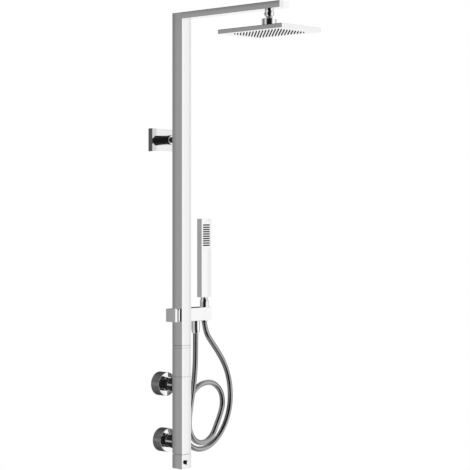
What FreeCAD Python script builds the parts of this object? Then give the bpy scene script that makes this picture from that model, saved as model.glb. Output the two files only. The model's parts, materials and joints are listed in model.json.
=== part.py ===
import FreeCAD, Part
import math
import os

# Rainfall shower column with thermostatic valve, overhead head and hand shower.
# Millimetres, +Z up.  The origin is the middle of the wall plate's back face:
# the wall is the plane y = 0, the room is towards -y, and +x is to the right of
# someone facing the wall.

V = FreeCAD.Vector

# ---------------------------------------------------------------- overall sizes
COLUMN_HEIGHT = 1200.0      # underside of the temperature handle to the top
SECTION = 35.5              # outside of the square column
TUBE_WALL = 1.5
EDGE_RADIUS = 0.8           # softened long edges of the square tubes
WALL_GAP = 81.0             # column axis to the wall
PLATE_HEIGHT = 867.0        # wall plate's centre above the column's underside
ARM_REACH = 360.0           # column axis to the arm's end face
ARM_THICKNESS = 16.5
NECK_INSET = 50.5           # arm's end face to the ball joint's axis
RUNNING = 0.3               # gap between pieces that move past each other
FIT = 0.05                  # gap between pieces that are fitted and stay put

# ---------------------------------------------------------------- valve section
TEMP_HANDLE_HEIGHT = 37.3
TEMP_SEAM = 1.0
HOUSING_HEIGHT = 203.4
FLOW_SEAM = 0.6
FLOW_HANDLE_HEIGHT = 75.0
COLLAR_SEAM = 0.5
COLLAR_HEIGHT = 5.8
RISER_SEAM = 0.8
HANDLE_WALL = 2.5
WEB = 3.0                   # end webs of the hollow handles

CORE_RADIUS = 15.9
CORE_FLANGE = 6.0
CORE_RECESS_LOW = 6.5       # core's lower end inside the housing
CORE_RECESS_TOP = 3.2       # core's upper end inside the housing
LOW_BORE = 12.05
LOW_BORE_DEPTH = 105.0
TOP_BORE = 13.55
TOP_BORE_DEPTH = 60.0
LINK_BORE = 5.0             # waterway between the two bores
RISE_TUBE_RADIUS = 8.0      # fixed water tube through the flow handle
RISE_TUBE_SOCKET = 13.0
WATER_BORE = 5.0

SPINDLE_RADIUS = 5.0
SPINDLE_LENGTH = 26.0
HUB_SIZE = 18.0
SCREW_RADIUS = 2.0
SCREW_HEAD_RADIUS = 3.6
SCREW_HEAD_HEIGHT = 2.4

GLAND = 8.0                 # thickness of the cartridge's end walls
CARTRIDGE_RIM = 3.2         # cartridge's lower end below the core
FLOW_CARTRIDGE_RIM = 1.6    # flow cartridge's upper end above the core
CARTRIDGE_BORE = 8.5
CARTRIDGE_OUTLET = 2.5
ELEMENT_RADIUS = 8.2
ELEMENT_LENGTH = 18.0
ELEMENT_BORE = 2.5
NOSE_LENGTH = 26.0
ELEMENT_GAP = 4.0
ELEMENT_NOSE = 4.4
SPRING_RADIUS = 6.0
SPRING_WIRE = 0.8
SPRING_TURNS = 6

SLEEVE_RADIUS = 11.0        # flow handle's drive sleeve around the rise tube
DISC_THICKNESS = 4.0
CARTRIDGE_BASE = 6.0

BUTTON_RADIUS = 6.3
BUTTON_REACH = 7.5          # how far the button stands out of the handle
BUTTON_HEIGHT = 16.5        # button's axis above the handle's underside
BUTTON_FLANGE = 1.3
BUTTON_LIP = 1.6
BUTTON_EDGE = 0.8
BUTTON_SPRING_RADIUS = 3.6
BUTTON_SPRING_WIRE = 0.4
BUTTON_SPRING_TURNS = 5
BUTTON_TRAVEL = 2.0

# ---------------------------------------------------------------- inlets
INLET_HEIGHT = 67.7         # lower inlet above the column's underside
INLET_SPACING = 150.0
INLET_OFFSET = 3.3          # sideways throw of each eccentric union
THREAD_HALF_INCH = 10.48    # G 1/2 major radius
THREAD_3_4 = 13.2           # G 3/4 major radius
THREAD_REACH = 15.0         # threaded end standing beyond the wall plane
BARREL_RADIUS = 12.0        # union's plain barrel behind the flange
INLET_BORE = 7.0
TAIL_RADIUS = 11.0
TAIL_REACH = 6.5            # tail's end behind the column
COLLAR_THICKNESS = 2.9
NUT_RADIUS = 18.9
NUT_LIP = 3.0
GASKET = 2.8
FILTER_MESH = 0.5
FLANGE_RADIUS = 31.5
FLANGE_DEPTH = 30.0
FLANGE_WALL = 2.0
FLANGE_EDGE = 1.0
CHECK_VALVE_LENGTH = 10.0
CHECK_VALVE_BORE = 4.0

# ---------------------------------------------------------------- wall fixing
PLATE_WIDTH = 88.0
PLATE_TALL = 61.0
PLATE_DEPTH = 15.0
PLATE_WALL = 2.0
BACKPLATE = 4.0
BACKPLATE_GAP = 2.0
FIX_SPACING = 50.0
FIX_HOLE = 2.75
SLEEVE_OUTER = 13.5
SLEEVE_EDGE = 1.5
STEM_RADIUS = 7.5
STEM_LENGTH = 17.0
STUD_RADIUS = 5.0
BOSS_RADIUS = 8.5
ANCHOR_SIZE = 22.0
ANCHOR_THICKNESS = 4.0
ANCHOR_STUD = 4.0
GRUB_RADIUS = 2.4
GRUB_LENGTH = 6.0
GRUB_SPREAD = 8.9           # riser's screws either side of the middle

# ---------------------------------------------------------------- crossbar
BAR_HEIGHT = 404.0          # crossbar's centre above the column's underside
BAR_SIZE = 34.5
BAR_STRAP = 2.75            # crossbar behind the column's back face
BAR_RIGHT = 99.0
BAR_CHEEK = 6.35            # crossbar to the left of the column
NECK_LENGTH = 5.2
NECK_SIZE = 27.0            # square waist between the bar and its knob
KNOB_THICKNESS = 8.4
MANIFOLD_HEIGHT = 44.0
MANIFOLD_GAP = 0.2
SOCKET = 8.0
BAR_BORE = 5.0
VALVE_RADIUS = 7.9
VALVE_INSET = 10.0
VALVE_BORE = 4.5
VALVE_SPINDLE = 3.2
OUTLET_X = 55.3
OUTLET_REACH = 14.5
OUTLET_SOCKET = 8.0
OUTLET_BORE = 6.0

# ---------------------------------------------------------------- hand shower
HOLDER_X = 88.3
HANDSET_WIDTH = 39.3
HANDSET_DEPTH = 16.5
HANDSET_LENGTH = 209.7
HANDSET_LIFT = 26.3         # handset's underside above the crossbar's top
HANDSET_WALL = 1.8
HANDSET_EDGE = 1.6
FACE_WIDTH = 31.0
FACE_TALL = 73.0
FACE_THICKNESS = 2.2
FACE_TOP = 8.0
ROW_COUNT = 10
ROW_PITCH = 6.05
ROW_WIDTH = 24.0
ROW_TALL = 3.6
ROW_PROUD = 0.8
ROW_TOP = 16.5
SPIGOT_RADIUS = 6.3
SPIGOT_REACH = 12.0
SPIGOT_BORE = 4.0
CONE_TOP_RADIUS = 8.7
CONE_MAX_RADIUS = 11.9
CONE_SEAT_TOP = 11.7
CONE_SEAT_LOW = 9.7
CONE_TAIL = 3.5             # cone's lower end below the crossbar
CONE_END_RADIUS = 9.3
CONE_WIDEST_RISE = 9.2      # cone's widest ring above the crossbar
CONE_BAND = 5.2
CONE_SHOULDER_RADIUS = 9.7
CONE_SHOULDER_DROP = 4.0    # cone's shoulder below its top
LINER_WALL = 1.2
SLOT_WIDTH = 16.5

# ---------------------------------------------------------------- hose
HOSE_DIAMETER = 14.5
NUT_TOP_RADIUS = 11.6
NUT_LOW_RADIUS = 9.7
NUT_LENGTH = 34.5
NUT_CHAMFER = 0.8
NUT_TAPER_END = 8.0         # nut's taper reaches its lower radius here, from the bottom
WASHER = 2.0
# Route of the hose between its two ends: right of the column axis, behind the
# column axis, and above the column's underside.  Chosen by hand: it hangs from
# the outlet, loops once behind itself and climbs to the hand shower's cone.
HOSE_DROP = 42.25           # hose's straight run below the outlet's nut
HOSE_TAIL = 1.5             # hose's end below the cone
HOSE_ROUTE = [
    (55.0, 4.5, 258.0),
    (50.5, 7.5, 204.0),
    (43.0, 10.5, 154.0),
    (38.5, 12.0, 116.0),
    (44.0, 13.0, 85.0),
    (67.5, 14.3, 59.0),
    (103.0, 15.8, 52.5),
    (135.0, 17.8, 69.0),
    (153.0, 20.0, 97.0),
    (171.0, 22.5, 124.0),
    (184.0, 25.0, 152.0),
    (179.5, 28.0, 187.0),
    (153.0, 31.2, 211.5),
    (119.0, 34.0, 213.5),
    (89.0, 36.3, 200.5),
    (66.0, 38.0, 175.0),
    (51.0, 39.5, 140.0),
    (45.0, 40.0, 100.0),
    (52.0, 38.5, 63.0),
    (78.0, 35.0, 38.0),
    (116.0, 29.5, 33.0),
    (155.0, 24.0, 52.5),
    (183.5, 18.5, 90.5),
    (200.0, 14.5, 137.0),
    (199.5, 11.0, 187.0),
    (186.5, 8.0, 233.0),
    (165.5, 6.0, 270.0),
    (140.0, 4.5, 301.0),
    (115.0, 4.0, 328.0),
    (94.5, 3.5, 352.0),
]

# ---------------------------------------------------------------- overhead head
HEAD_WIDTH = 148.7
HEAD_LENGTH = 213.8
HEAD_THICKNESS = 11.0
HEAD_TOP_WALL = 2.2
HEAD_RIM = 3.0
HEAD_EDGE = 1.2
FACE_PLATE = 1.8
SEAL_WIDTH = 4.0
SEAL_THICKNESS = 2.0
NOZZLES_ACROSS = 10
NOZZLES_ALONG = 15
NOZZLE_PITCH = 10.5
NOZZLE_RADIUS = 2.0
NOZZLE_TIP = 1.3
NOZZLE_PROUD = 1.8
MAT_THICKNESS = 1.2
MAT_MARGIN = 5.0
NECK_TOTAL = 49.2           # arm's underside to the head's top face
BALL_RADIUS = 11.0
SEAT_WALL = 1.5
SEAT_GAP = 0.05             # running fit on the ball's spherical faces
SEAT_PARTING = 1.7          # each seat half's edge from the ball's equator
SEAT_RISE = 5.5             # seat's top edge above the ball's centre
SEAL_DROP = 8.8             # seal's lower edge below the ball's centre
BALL_NECK = 6.5
STEM_BORE = 4.0
COLLAR_RADIUS = 11.0
COLLAR_LENGTH = 4.4
BULB_RADIUS = 12.5
BULB_DROP = 9.9             # bulb's widest ring below the arm
BULB_BAND = 1.0
BULB_UNDERCUT = 11.6        # bulb's radius halfway down to the waist
UNDERCUT_DROP = 15.9
WAIST_RADIUS = 8.8
WAIST_DROP = 20.7
WAIST_TAPER = 2.2
SPIGOT_THREAD = 8.3
BLOCK_SIZE = 30.0
BALL_NUT_HEIGHT = 24.5
BALL_NUT_WALL = 5.65        # nut outside the seat, at the ball's equator
BALL_NUT_SKIRT = 3.05       # nut's wall round the head's boss
BALL_NUT_RIM = 3.75         # nut's rim at its mouth
NUT_MOUTH_LIP = 5.5         # nut's tightest ring below its top
HEAD_BOSS_HEIGHT = 9.5
PIPE_RADIUS = 5.0
PIPE_BORE = 4.0
PIPE_BEND = 22.0
ARM_SOCKET = 6.0            # water pipe's depth in the arm's outlet block
O_RING = 1.0

# ---------------------------------------------------------------- worked out
BASE = -PLATE_HEIGHT        # column's underside in this frame
AXIS_Y = -WALL_GAP
HALF = SECTION / 2
INSIDE = SECTION - 2 * TUBE_WALL
ANY = 2000.0                # longer than anything it cuts through


def up(height):
    """A height above the column's underside, in the frame."""
    return BASE + height


HOUSING_LOW = up(TEMP_HANDLE_HEIGHT + TEMP_SEAM)
HOUSING_TOP = HOUSING_LOW + HOUSING_HEIGHT
FLOW_LOW = HOUSING_TOP + FLOW_SEAM
FLOW_TOP = FLOW_LOW + FLOW_HANDLE_HEIGHT
COLLAR_LOW = FLOW_TOP + COLLAR_SEAM
COLLAR_TOP = COLLAR_LOW + COLLAR_HEIGHT
RISER_LOW = COLLAR_TOP + RISER_SEAM
TOP = up(COLUMN_HEIGHT)
ARM_LOW = TOP - ARM_THICKNESS
ARM_END_Y = AXIS_Y - ARM_REACH
ARM_MID_Z = TOP - ARM_THICKNESS / 2
BACK_Y = AXIS_Y + HALF
BAR_BACK = HALF + BAR_STRAP
BAR_LEFT = HALF + BAR_CHEEK
CORE_LOW = HOUSING_LOW + CORE_RECESS_LOW
CORE_TOP = HOUSING_TOP - CORE_RECESS_TOP
BAR_Z = up(BAR_HEIGHT)
BAR_LOW = BAR_Z - BAR_SIZE / 2
BAR_TOP = BAR_Z + BAR_SIZE / 2
BAR_Y = AXIS_Y + BAR_BACK - BAR_SIZE / 2
NECK_Y = ARM_END_Y + NECK_INSET
HEAD_TOP = ARM_LOW - NECK_TOTAL
HEAD_LOW = HEAD_TOP - HEAD_THICKNESS
SEAT_OUTER = BALL_RADIUS + SEAT_GAP + SEAT_WALL
BALL_Z = HEAD_TOP + SEAT_OUTER + 3 * SEAT_GAP
BALL_NUT_RADIUS = SEAT_OUTER + SEAT_GAP + BALL_NUT_WALL
HEAD_BOSS_RADIUS = BALL_NUT_RADIUS - BALL_NUT_SKIRT
FLARE_RADIUS = BALL_NUT_RADIUS - BALL_NUT_RIM
INLETS = (
    ("lower", up(INLET_HEIGHT), INLET_OFFSET),
    ("upper", up(INLET_HEIGHT + INLET_SPACING), -INLET_OFFSET),
)


# ---------------------------------------------------------------- shape helpers
def block(x0, x1, y0, y1, z0, z1):
    """A plain box between two corners."""
    return Part.makeBox(x1 - x0, y1 - y0, z1 - z0, V(x0, y0, z0))


def rounded(width, depth, z0, z1, cx, cy, radius):
    """An upright bar with rounded long edges."""
    solid = block(cx - width / 2, cx + width / 2, cy - depth / 2, cy + depth / 2, z0, z1)
    uprights = [
        edge for edge in solid.Edges
        if abs(edge.Vertexes[0].Z - edge.Vertexes[-1].Z) > (z1 - z0) / 2
    ]
    return solid.makeFillet(radius, uprights)


def rod(radius, start, end):
    """A round rod between two points."""
    along = end - start
    return Part.makeCylinder(radius, along.Length, start, along)


def pipe(outer, inner, start, end):
    """A round tube between two points."""
    return rod(outer, start, end).cut(rod(inner, start, end))


def upright(radius, z0, z1, x=0.0, y=AXIS_Y):
    """A round rod along z."""
    return rod(radius, V(x, y, z0), V(x, y, z1))


def lathe(profile, x, y):
    """A solid turned about the upright line through (x, y) from (radius, z) points."""
    points = [V(x + radius, y, z) for radius, z in profile]
    wire = Part.makePolygon(points + [points[0]])
    return Part.Face(wire).revolve(V(x, y, 0), V(0, 0, 1), 360)


def coil(radius, wire_radius, length, turns, start, axis):
    """A coil spring that starts at a point and runs along an axis."""
    helix = Part.makeHelix(length / turns, length, radius)
    ring = Part.Wire(Part.makeCircle(wire_radius, V(radius, 0, 0), V(0, 1, 0)))
    spring = Part.Wire(helix).makePipeShell([ring], True, True)
    spring.Placement = FreeCAD.Placement(start, FreeCAD.Rotation(V(0, 0, 1), axis))
    return spring


def one(shape):
    """The single solid inside a shape that a cut or fuse has wrapped."""
    return shape.Solids[0] if len(shape.Solids) == 1 else shape


def save(name, shape):
    """Writes one named piece."""
    one(shape).exportStep("parts/" + name + ".step")
    print(name, len(shape.Solids), round(shape.Volume / 1000.0, 2), "cm3")


# ---------------------------------------------------------------- column and arm
def riser_tube():
    """Square tube from the collar to the top, with its ports."""
    top = TOP - TUBE_WALL
    shape = rounded(SECTION, SECTION, RISER_LOW, top, 0, AXIS_Y, EDGE_RADIUS)
    shape = shape.cut(block(
        -INSIDE / 2, INSIDE / 2, AXIS_Y - INSIDE / 2, AXIS_Y + INSIDE / 2, RISER_LOW, top
    ))
    window = block(
        -INSIDE / 2, INSIDE / 2, AXIS_Y - HALF, AXIS_Y, ARM_LOW + TUBE_WALL, top
    )
    left_port = rod(VALVE_RADIUS + FIT, V(-HALF, BAR_Y, BAR_Z), V(0, BAR_Y, BAR_Z))
    right_port = rod(BAR_BORE, V(0, BAR_Y, BAR_Z), V(HALF, BAR_Y, BAR_Z))
    wall_port = rod(ANCHOR_STUD + FIT, V(0, AXIS_Y, 0), V(0, BACK_Y, 0))
    shape = shape.cut([window, left_port, right_port, wall_port])
    return shape.cut([rod(GRUB_RADIUS, start, end) for start, end in riser_grubs()])


def riser_grubs():
    """Ends of the two screws that hold the riser on its coupling."""
    z = RISER_LOW + GRUB_LENGTH + GRUB_RADIUS
    spots = []
    for x in (-GRUB_SPREAD, GRUB_SPREAD):
        spots.append((V(x, BACK_Y - GRUB_LENGTH, z), V(x, BACK_Y, z)))
    return spots


def riser_top_cap():
    """Plate that closes the riser's top."""
    return rounded(SECTION, SECTION, TOP - TUBE_WALL, TOP, 0, AXIS_Y, EDGE_RADIUS)


def arm_tube():
    """Flat tube welded to the riser's front, with the neck's hole below."""
    front = AXIS_Y - HALF
    end = ARM_END_Y + TUBE_WALL
    outer = block(-HALF, HALF, end, front, ARM_LOW, TOP)
    long_edges = [
        edge for edge in outer.Edges
        if abs(edge.Vertexes[0].Y - edge.Vertexes[-1].Y) > ARM_THICKNESS
    ]
    outer = outer.makeFillet(EDGE_RADIUS, long_edges)
    inner = block(
        -INSIDE / 2, INSIDE / 2, end, front, ARM_LOW + TUBE_WALL, TOP - TUBE_WALL
    )
    hole = upright(SPIGOT_THREAD + FIT, ARM_LOW, ARM_MID_Z, 0, NECK_Y)
    return outer.cut([inner, hole])


def arm_end_cap():
    """Plate that closes the arm's free end."""
    cap = block(-HALF, HALF, ARM_END_Y, ARM_END_Y + TUBE_WALL, ARM_LOW, TOP)
    corners = [
        edge for edge in cap.Edges
        if abs(edge.Vertexes[0].Y - edge.Vertexes[-1].Y) > TUBE_WALL / 2
    ]
    return cap.makeFillet(EDGE_RADIUS, corners)


def arm_outlet_block():
    """Brass block in the arm: pipe socket behind, neck socket below."""
    low = ARM_LOW + TUBE_WALL
    top = TOP - TUBE_WALL
    half = BLOCK_SIZE / 2
    shape = block(-half, half, NECK_Y - half, NECK_Y + half, low, top)
    socket = rod(
        PIPE_RADIUS + FIT, V(0, NECK_Y + half - ARM_SOCKET, ARM_MID_Z), V(0, NECK_Y + half, ARM_MID_Z)
    )
    way = rod(PIPE_BORE, V(0, NECK_Y, ARM_MID_Z), V(0, NECK_Y + half, ARM_MID_Z))
    neck = upright(SPIGOT_THREAD + FIT, low, top - TUBE_WALL * 2, 0, NECK_Y)
    return shape.cut([socket, way, neck])


def water_pipe():
    """Bent water pipe from the manifold to the arm's outlet block."""
    bottom = V(0, AXIS_Y, BAR_Z + MANIFOLD_HEIGHT / 2 - SOCKET)
    bend_start = V(0, AXIS_Y, ARM_MID_Z - PIPE_BEND)
    bend_end = V(0, AXIS_Y - PIPE_BEND, ARM_MID_Z)
    end = V(0, NECK_Y + BLOCK_SIZE / 2 - ARM_SOCKET, ARM_MID_Z)
    centre = V(0, AXIS_Y - PIPE_BEND, ARM_MID_Z - PIPE_BEND)
    half_turn = math.pi / 4
    middle = centre + V(0, PIPE_BEND * math.cos(half_turn), PIPE_BEND * math.sin(half_turn))
    path = Part.Wire([
        Part.LineSegment(bottom, bend_start).toShape(),
        Part.Arc(bend_start, middle, bend_end).toShape(),
        Part.LineSegment(bend_end, end).toShape(),
    ])
    outer = path.makePipeShell([Part.Wire(Part.makeCircle(PIPE_RADIUS, bottom, V(0, 0, 1)))], True)
    inner = path.makePipeShell([Part.Wire(Part.makeCircle(PIPE_BORE, bottom, V(0, 0, 1)))], True)
    return outer.cut(inner)


# ---------------------------------------------------------------- valve section
def riser_collar():
    """Thin square ring between the flow handle and the riser."""
    outer = rounded(SECTION, SECTION, COLLAR_LOW, COLLAR_TOP, 0, AXIS_Y, EDGE_RADIUS)
    return outer.cut(block(
        -INSIDE / 2, INSIDE / 2, AXIS_Y - INSIDE / 2, AXIS_Y + INSIDE / 2, COLLAR_LOW, COLLAR_TOP
    ))


def riser_coupling():
    """Brass rise tube with the square block that carries the collar and the riser."""
    half = (INSIDE - MANIFOLD_GAP) / 2
    tube_low = CORE_TOP - TOP_BORE_DEPTH - RISE_TUBE_SOCKET
    tube_top = BAR_Z - MANIFOLD_HEIGHT / 2 + SOCKET
    seat = block(
        -half, half, AXIS_Y - half, AXIS_Y + half,
        COLLAR_LOW, RISER_LOW + 3 * GRUB_LENGTH
    )
    shape = seat.fuse(upright(RISE_TUBE_RADIUS, tube_low, tube_top))
    shape = shape.cut(upright(WATER_BORE, tube_low, tube_top))
    return shape.cut([rod(GRUB_RADIUS, start, end) for start, end in riser_grubs()])


def valve_housing():
    """Square chromed skin of the valve, with two inlet holes at the back."""
    shape = rounded(SECTION, SECTION, HOUSING_LOW, HOUSING_TOP, 0, AXIS_Y, EDGE_RADIUS)
    shape = shape.cut(block(
        -INSIDE / 2, INSIDE / 2, AXIS_Y - INSIDE / 2, AXIS_Y + INSIDE / 2,
        HOUSING_LOW, HOUSING_TOP
    ))
    for _, z, _ in INLETS:
        shape = shape.cut(rod(THREAD_3_4 + RUNNING, V(0, AXIS_Y, z), V(0, BACK_Y, z)))
    return shape


def valve_core():
    """Brass valve body: two stepped bores joined by a waterway, and two inlet tails."""
    half = (INSIDE - MANIFOLD_GAP) / 2
    shape = upright(CORE_RADIUS, CORE_LOW, CORE_TOP)
    for low in (CORE_LOW, CORE_TOP - CORE_FLANGE):
        shape = shape.fuse(block(
            -half, half, AXIS_Y - half, AXIS_Y + half, low, low + CORE_FLANGE
        ))
    tail_end = BACK_Y + TAIL_REACH
    for _, z, _ in INLETS:
        tail = rod(TAIL_RADIUS, V(0, AXIS_Y, z), V(0, tail_end, z))
        collar = rod(THREAD_3_4, V(0, tail_end - COLLAR_THICKNESS, z), V(0, tail_end, z))
        shape = shape.fuse([tail, collar])
    link_low = CORE_LOW + LOW_BORE_DEPTH
    link_top = CORE_TOP - TOP_BORE_DEPTH
    ways = [
        upright(LOW_BORE, CORE_LOW, link_low),
        upright(LINK_BORE, link_low, link_top),
        upright(RISE_TUBE_RADIUS + FIT, link_top - RISE_TUBE_SOCKET, link_top),
        upright(TOP_BORE, link_top, CORE_TOP),
    ]
    for _, z, _ in INLETS:
        ways.append(rod(INLET_BORE, V(0, AXIS_Y, z), V(0, tail_end, z)))
    return shape.cut(ways)


def thermostatic_cartridge():
    """Sleeve that screws into the core from below and guides the element."""
    low = CORE_LOW - CARTRIDGE_RIM
    top = CORE_LOW + LOW_BORE_DEPTH - FIT
    shape = upright(LOW_BORE - FIT, low, top)
    return shape.cut([
        upright(SPINDLE_RADIUS + RUNNING, low, low + GLAND),
        upright(CARTRIDGE_BORE, low + GLAND, top - GLAND),
        upright(CARTRIDGE_OUTLET, top - GLAND, top),
    ])


def spindle_top():
    """Upper end of the temperature spindle."""
    return HOUSING_LOW + SPINDLE_LENGTH


def thermostatic_element():
    """Hollow shuttle with its wax capsule's nose, moved along by the spindle."""
    low = spindle_top() + ELEMENT_GAP
    shoulder = low + ELEMENT_LENGTH
    top = shoulder + NOSE_LENGTH
    shape = upright(ELEMENT_RADIUS, low, shoulder)
    shape = shape.fuse(upright(ELEMENT_NOSE, shoulder, top))
    return shape.cut(upright(ELEMENT_BORE, low, top))


def thermostat_spring():
    """Return spring between the element and the cartridge's end wall."""
    low = spindle_top() + ELEMENT_GAP + ELEMENT_LENGTH + SPRING_WIRE
    top = CORE_LOW + LOW_BORE_DEPTH - GLAND - RUNNING - SPRING_WIRE
    return coil(
        SPRING_RADIUS, SPRING_WIRE, top - low, SPRING_TURNS, V(0, AXIS_Y, low), V(0, 0, 1)
    )


def flow_cartridge():
    """Annular cartridge in the core's upper bore, around the rise tube."""
    low = CORE_TOP - TOP_BORE_DEPTH
    top = CORE_TOP + FLOW_CARTRIDGE_RIM
    shape = upright(TOP_BORE - FIT, low, top)
    return shape.cut([
        upright(RISE_TUBE_RADIUS + FIT, low, low + CARTRIDGE_BASE),
        upright(SLEEVE_RADIUS + RUNNING, low + CARTRIDGE_BASE, top),
    ])


def ceramic_disc():
    """Moving disc with two ports, turned by the drive sleeve."""
    low = CORE_TOP - TOP_BORE_DEPTH + CARTRIDGE_BASE + RUNNING
    bore = RISE_TUBE_RADIUS + RUNNING
    return pipe(SLEEVE_RADIUS, bore, V(0, AXIS_Y, low), V(0, AXIS_Y, low + DISC_THICKNESS))


def flow_sleeve():
    """Drive sleeve from the flow handle down to the ceramic disc."""
    low = CORE_TOP - TOP_BORE_DEPTH + CARTRIDGE_BASE + RUNNING + DISC_THICKNESS
    seat = FLOW_LOW + WEB
    bore = RISE_TUBE_RADIUS + RUNNING
    shape = upright(SLEEVE_RADIUS, low, seat + WEB)
    shape = shape.fuse(upright(SLEEVE_RADIUS + WEB, seat, seat + WEB))
    return shape.cut(upright(bore, low, seat + WEB))


def flow_handle():
    """Hollow square handle with a web at each end."""
    shape = rounded(SECTION, SECTION, FLOW_LOW, FLOW_TOP, 0, AXIS_Y, EDGE_RADIUS)
    half = HALF - HANDLE_WALL
    hollow = block(-half, half, AXIS_Y - half, AXIS_Y + half, FLOW_LOW + WEB, FLOW_TOP - WEB)
    return shape.cut([
        hollow,
        upright(SLEEVE_RADIUS + FIT, FLOW_LOW, FLOW_LOW + WEB),
        upright(RISE_TUBE_RADIUS + RUNNING, FLOW_TOP - WEB, FLOW_TOP),
    ])


# ---------------------------------------------------------------- temperature handle
def temp_handle():
    """Hollow square handle, closed below, with the button's hole in front."""
    low = BASE
    top = up(TEMP_HANDLE_HEIGHT)
    shape = rounded(SECTION, SECTION, low, top, 0, AXIS_Y, EDGE_RADIUS)
    half = HALF - HANDLE_WALL
    z = up(BUTTON_HEIGHT)
    return shape.cut([
        block(-half, half, AXIS_Y - half, AXIS_Y + half, low + WEB, top),
        rod(BUTTON_RADIUS + RUNNING, V(0, AXIS_Y - HALF, z), V(0, AXIS_Y, z)),
        upright(SCREW_RADIUS + RUNNING, low, low + WEB),
        upright(SCREW_HEAD_RADIUS + RUNNING, low, low + SCREW_HEAD_HEIGHT),
    ])


def temp_handle_hub():
    """Foot plate, square hub and spindle that drive the thermostatic cartridge."""
    foot = HALF - HANDLE_WALL - RUNNING
    half = HUB_SIZE / 2
    low = BASE + WEB
    top = up(TEMP_HANDLE_HEIGHT) - RUNNING
    z = up(BUTTON_HEIGHT)
    shape = block(-foot, foot, AXIS_Y - half, AXIS_Y + foot, low, low + WEB)
    shape = shape.fuse([
        block(-half, half, AXIS_Y - half, AXIS_Y + half, low, top),
        upright(SPINDLE_RADIUS, top, spindle_top()),
    ])
    pocket = rod(
        BUTTON_SPRING_RADIUS + 3 * BUTTON_SPRING_WIRE,
        V(0, AXIS_Y - half, z), V(0, AXIS_Y - half + BUTTON_TRAVEL + 1, z)
    )
    screw = upright(SCREW_RADIUS, low, low + 2 * WEB)
    return shape.cut([pocket, screw])


def temp_handle_screw():
    """Screw that holds the handle on its hub, from below."""
    head_low = BASE + RUNNING
    shoulder = BASE + SCREW_HEAD_HEIGHT
    shape = upright(SCREW_HEAD_RADIUS, head_low, shoulder)
    shape = shape.fuse(upright(SCREW_RADIUS - FIT, shoulder, BASE + 3 * WEB - FIT))
    return shape.cut(upright(SCREW_RADIUS / 2, head_low, shoulder))


def stop_button():
    """Push button that frees the handle past its safety stop."""
    z = up(BUTTON_HEIGHT)
    front = AXIS_Y - HALF - BUTTON_REACH
    lip = AXIS_Y - HALF + HANDLE_WALL + RUNNING / 2
    back = lip + BUTTON_LIP
    shape = rod(BUTTON_RADIUS, V(0, front, z), V(0, back, z))
    shape = shape.makeFillet(BUTTON_EDGE, [
        edge for edge in shape.Edges
        if len(edge.Vertexes) == 1 and abs(edge.Vertexes[0].Y - front) < FIT
    ])
    shape = shape.fuse(rod(BUTTON_RADIUS + BUTTON_FLANGE, V(0, lip, z), V(0, back, z)))
    well = rod(
        BUTTON_SPRING_RADIUS + 2 * BUTTON_SPRING_WIRE,
        V(0, AXIS_Y - HALF, z), V(0, back, z)
    )
    return shape.cut(well)


def button_spring():
    """Coil spring in the hub's pocket, at the length it has when pressed."""
    z = up(BUTTON_HEIGHT)
    start = AXIS_Y - HALF + BUTTON_TRAVEL + FIT + BUTTON_SPRING_WIRE
    end = AXIS_Y - HUB_SIZE / 2 - BUTTON_SPRING_WIRE
    return coil(
        BUTTON_SPRING_RADIUS, BUTTON_SPRING_WIRE, end - start, BUTTON_SPRING_TURNS,
        V(0, start, z), V(0, 1, 0)
    )


# ---------------------------------------------------------------- inlets
def union_nuts():
    """Both union nuts."""
    return Part.makeCompound([union_nut(z) for _, z, _ in INLETS])


def union_nut(z):
    """Round nut that clamps a tail to its eccentric union."""
    low = BACK_Y + RUNNING
    end = -FLANGE_DEPTH - RUNNING
    lip_end = BACK_Y + TAIL_REACH - COLLAR_THICKNESS - RUNNING
    shape = rod(NUT_RADIUS, V(0, low, z), V(0, end, z))
    shape = shape.makeChamfer(NUT_CHAMFER, [
        edge for edge in shape.Edges if len(edge.Vertexes) == 1
    ])
    return shape.cut([
        rod(TAIL_RADIUS + RUNNING, V(0, low, z), V(0, lip_end, z)),
        rod(THREAD_3_4 + FIT, V(0, lip_end, z), V(0, end, z)),
    ])


def eccentric_union(z, offset):
    """Offset connector: 3/4 thread to the valve, 1/2 thread into the wall."""
    start = BACK_Y + TAIL_REACH + GASKET
    step = -FLANGE_DEPTH + 3 * FLANGE_WALL
    shape = rod(THREAD_3_4, V(0, start, z), V(0, step, z))
    shape = shape.fuse([
        rod(BARREL_RADIUS, V(offset, step - FLANGE_WALL, z), V(offset, 0, z)),
        rod(THREAD_HALF_INCH, V(offset, 0, z), V(offset, THREAD_REACH, z)),
    ])
    return shape.cut([
        rod(INLET_BORE, V(0, start, z), V(0, step - FLANGE_WALL / 2, z)),
        rod(INLET_BORE, V(offset, step - FLANGE_WALL, z), V(offset, THREAD_REACH, z)),
    ])


def wall_flanges():
    """Both flanges."""
    return Part.makeCompound([wall_flange(z, offset) for _, z, offset in INLETS])


def wall_flange(z, offset):
    """Deep round cover that hides the union's wall end, bored off centre."""
    front = -FLANGE_DEPTH
    shape = rod(FLANGE_RADIUS, V(offset, front, z), V(offset, 0, z))
    shape = shape.makeFillet(FLANGE_EDGE, [
        edge for edge in shape.Edges
        if len(edge.Vertexes) == 1 and abs(edge.Vertexes[0].Y - front) < FIT
    ])
    return shape.cut([
        rod(FLANGE_RADIUS - FLANGE_WALL, V(offset, front + FLANGE_WALL, z), V(offset, 0, z)),
        rod(THREAD_3_4 + RUNNING, V(0, front, z), V(0, front + 2 * FLANGE_WALL, z)),
    ])


def filter_gaskets():
    """Fibre washer with a mesh filter, one per inlet."""
    gaskets = []
    for _, z, _ in INLETS:
        start = BACK_Y + TAIL_REACH
        ring = rod(THREAD_3_4 - FIT, V(0, start, z), V(0, start + GASKET, z))
        way = rod(INLET_BORE, V(0, start + FILTER_MESH, z), V(0, start + GASKET, z))
        gaskets.append(ring.cut(way))
    return Part.makeCompound(gaskets)


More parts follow.
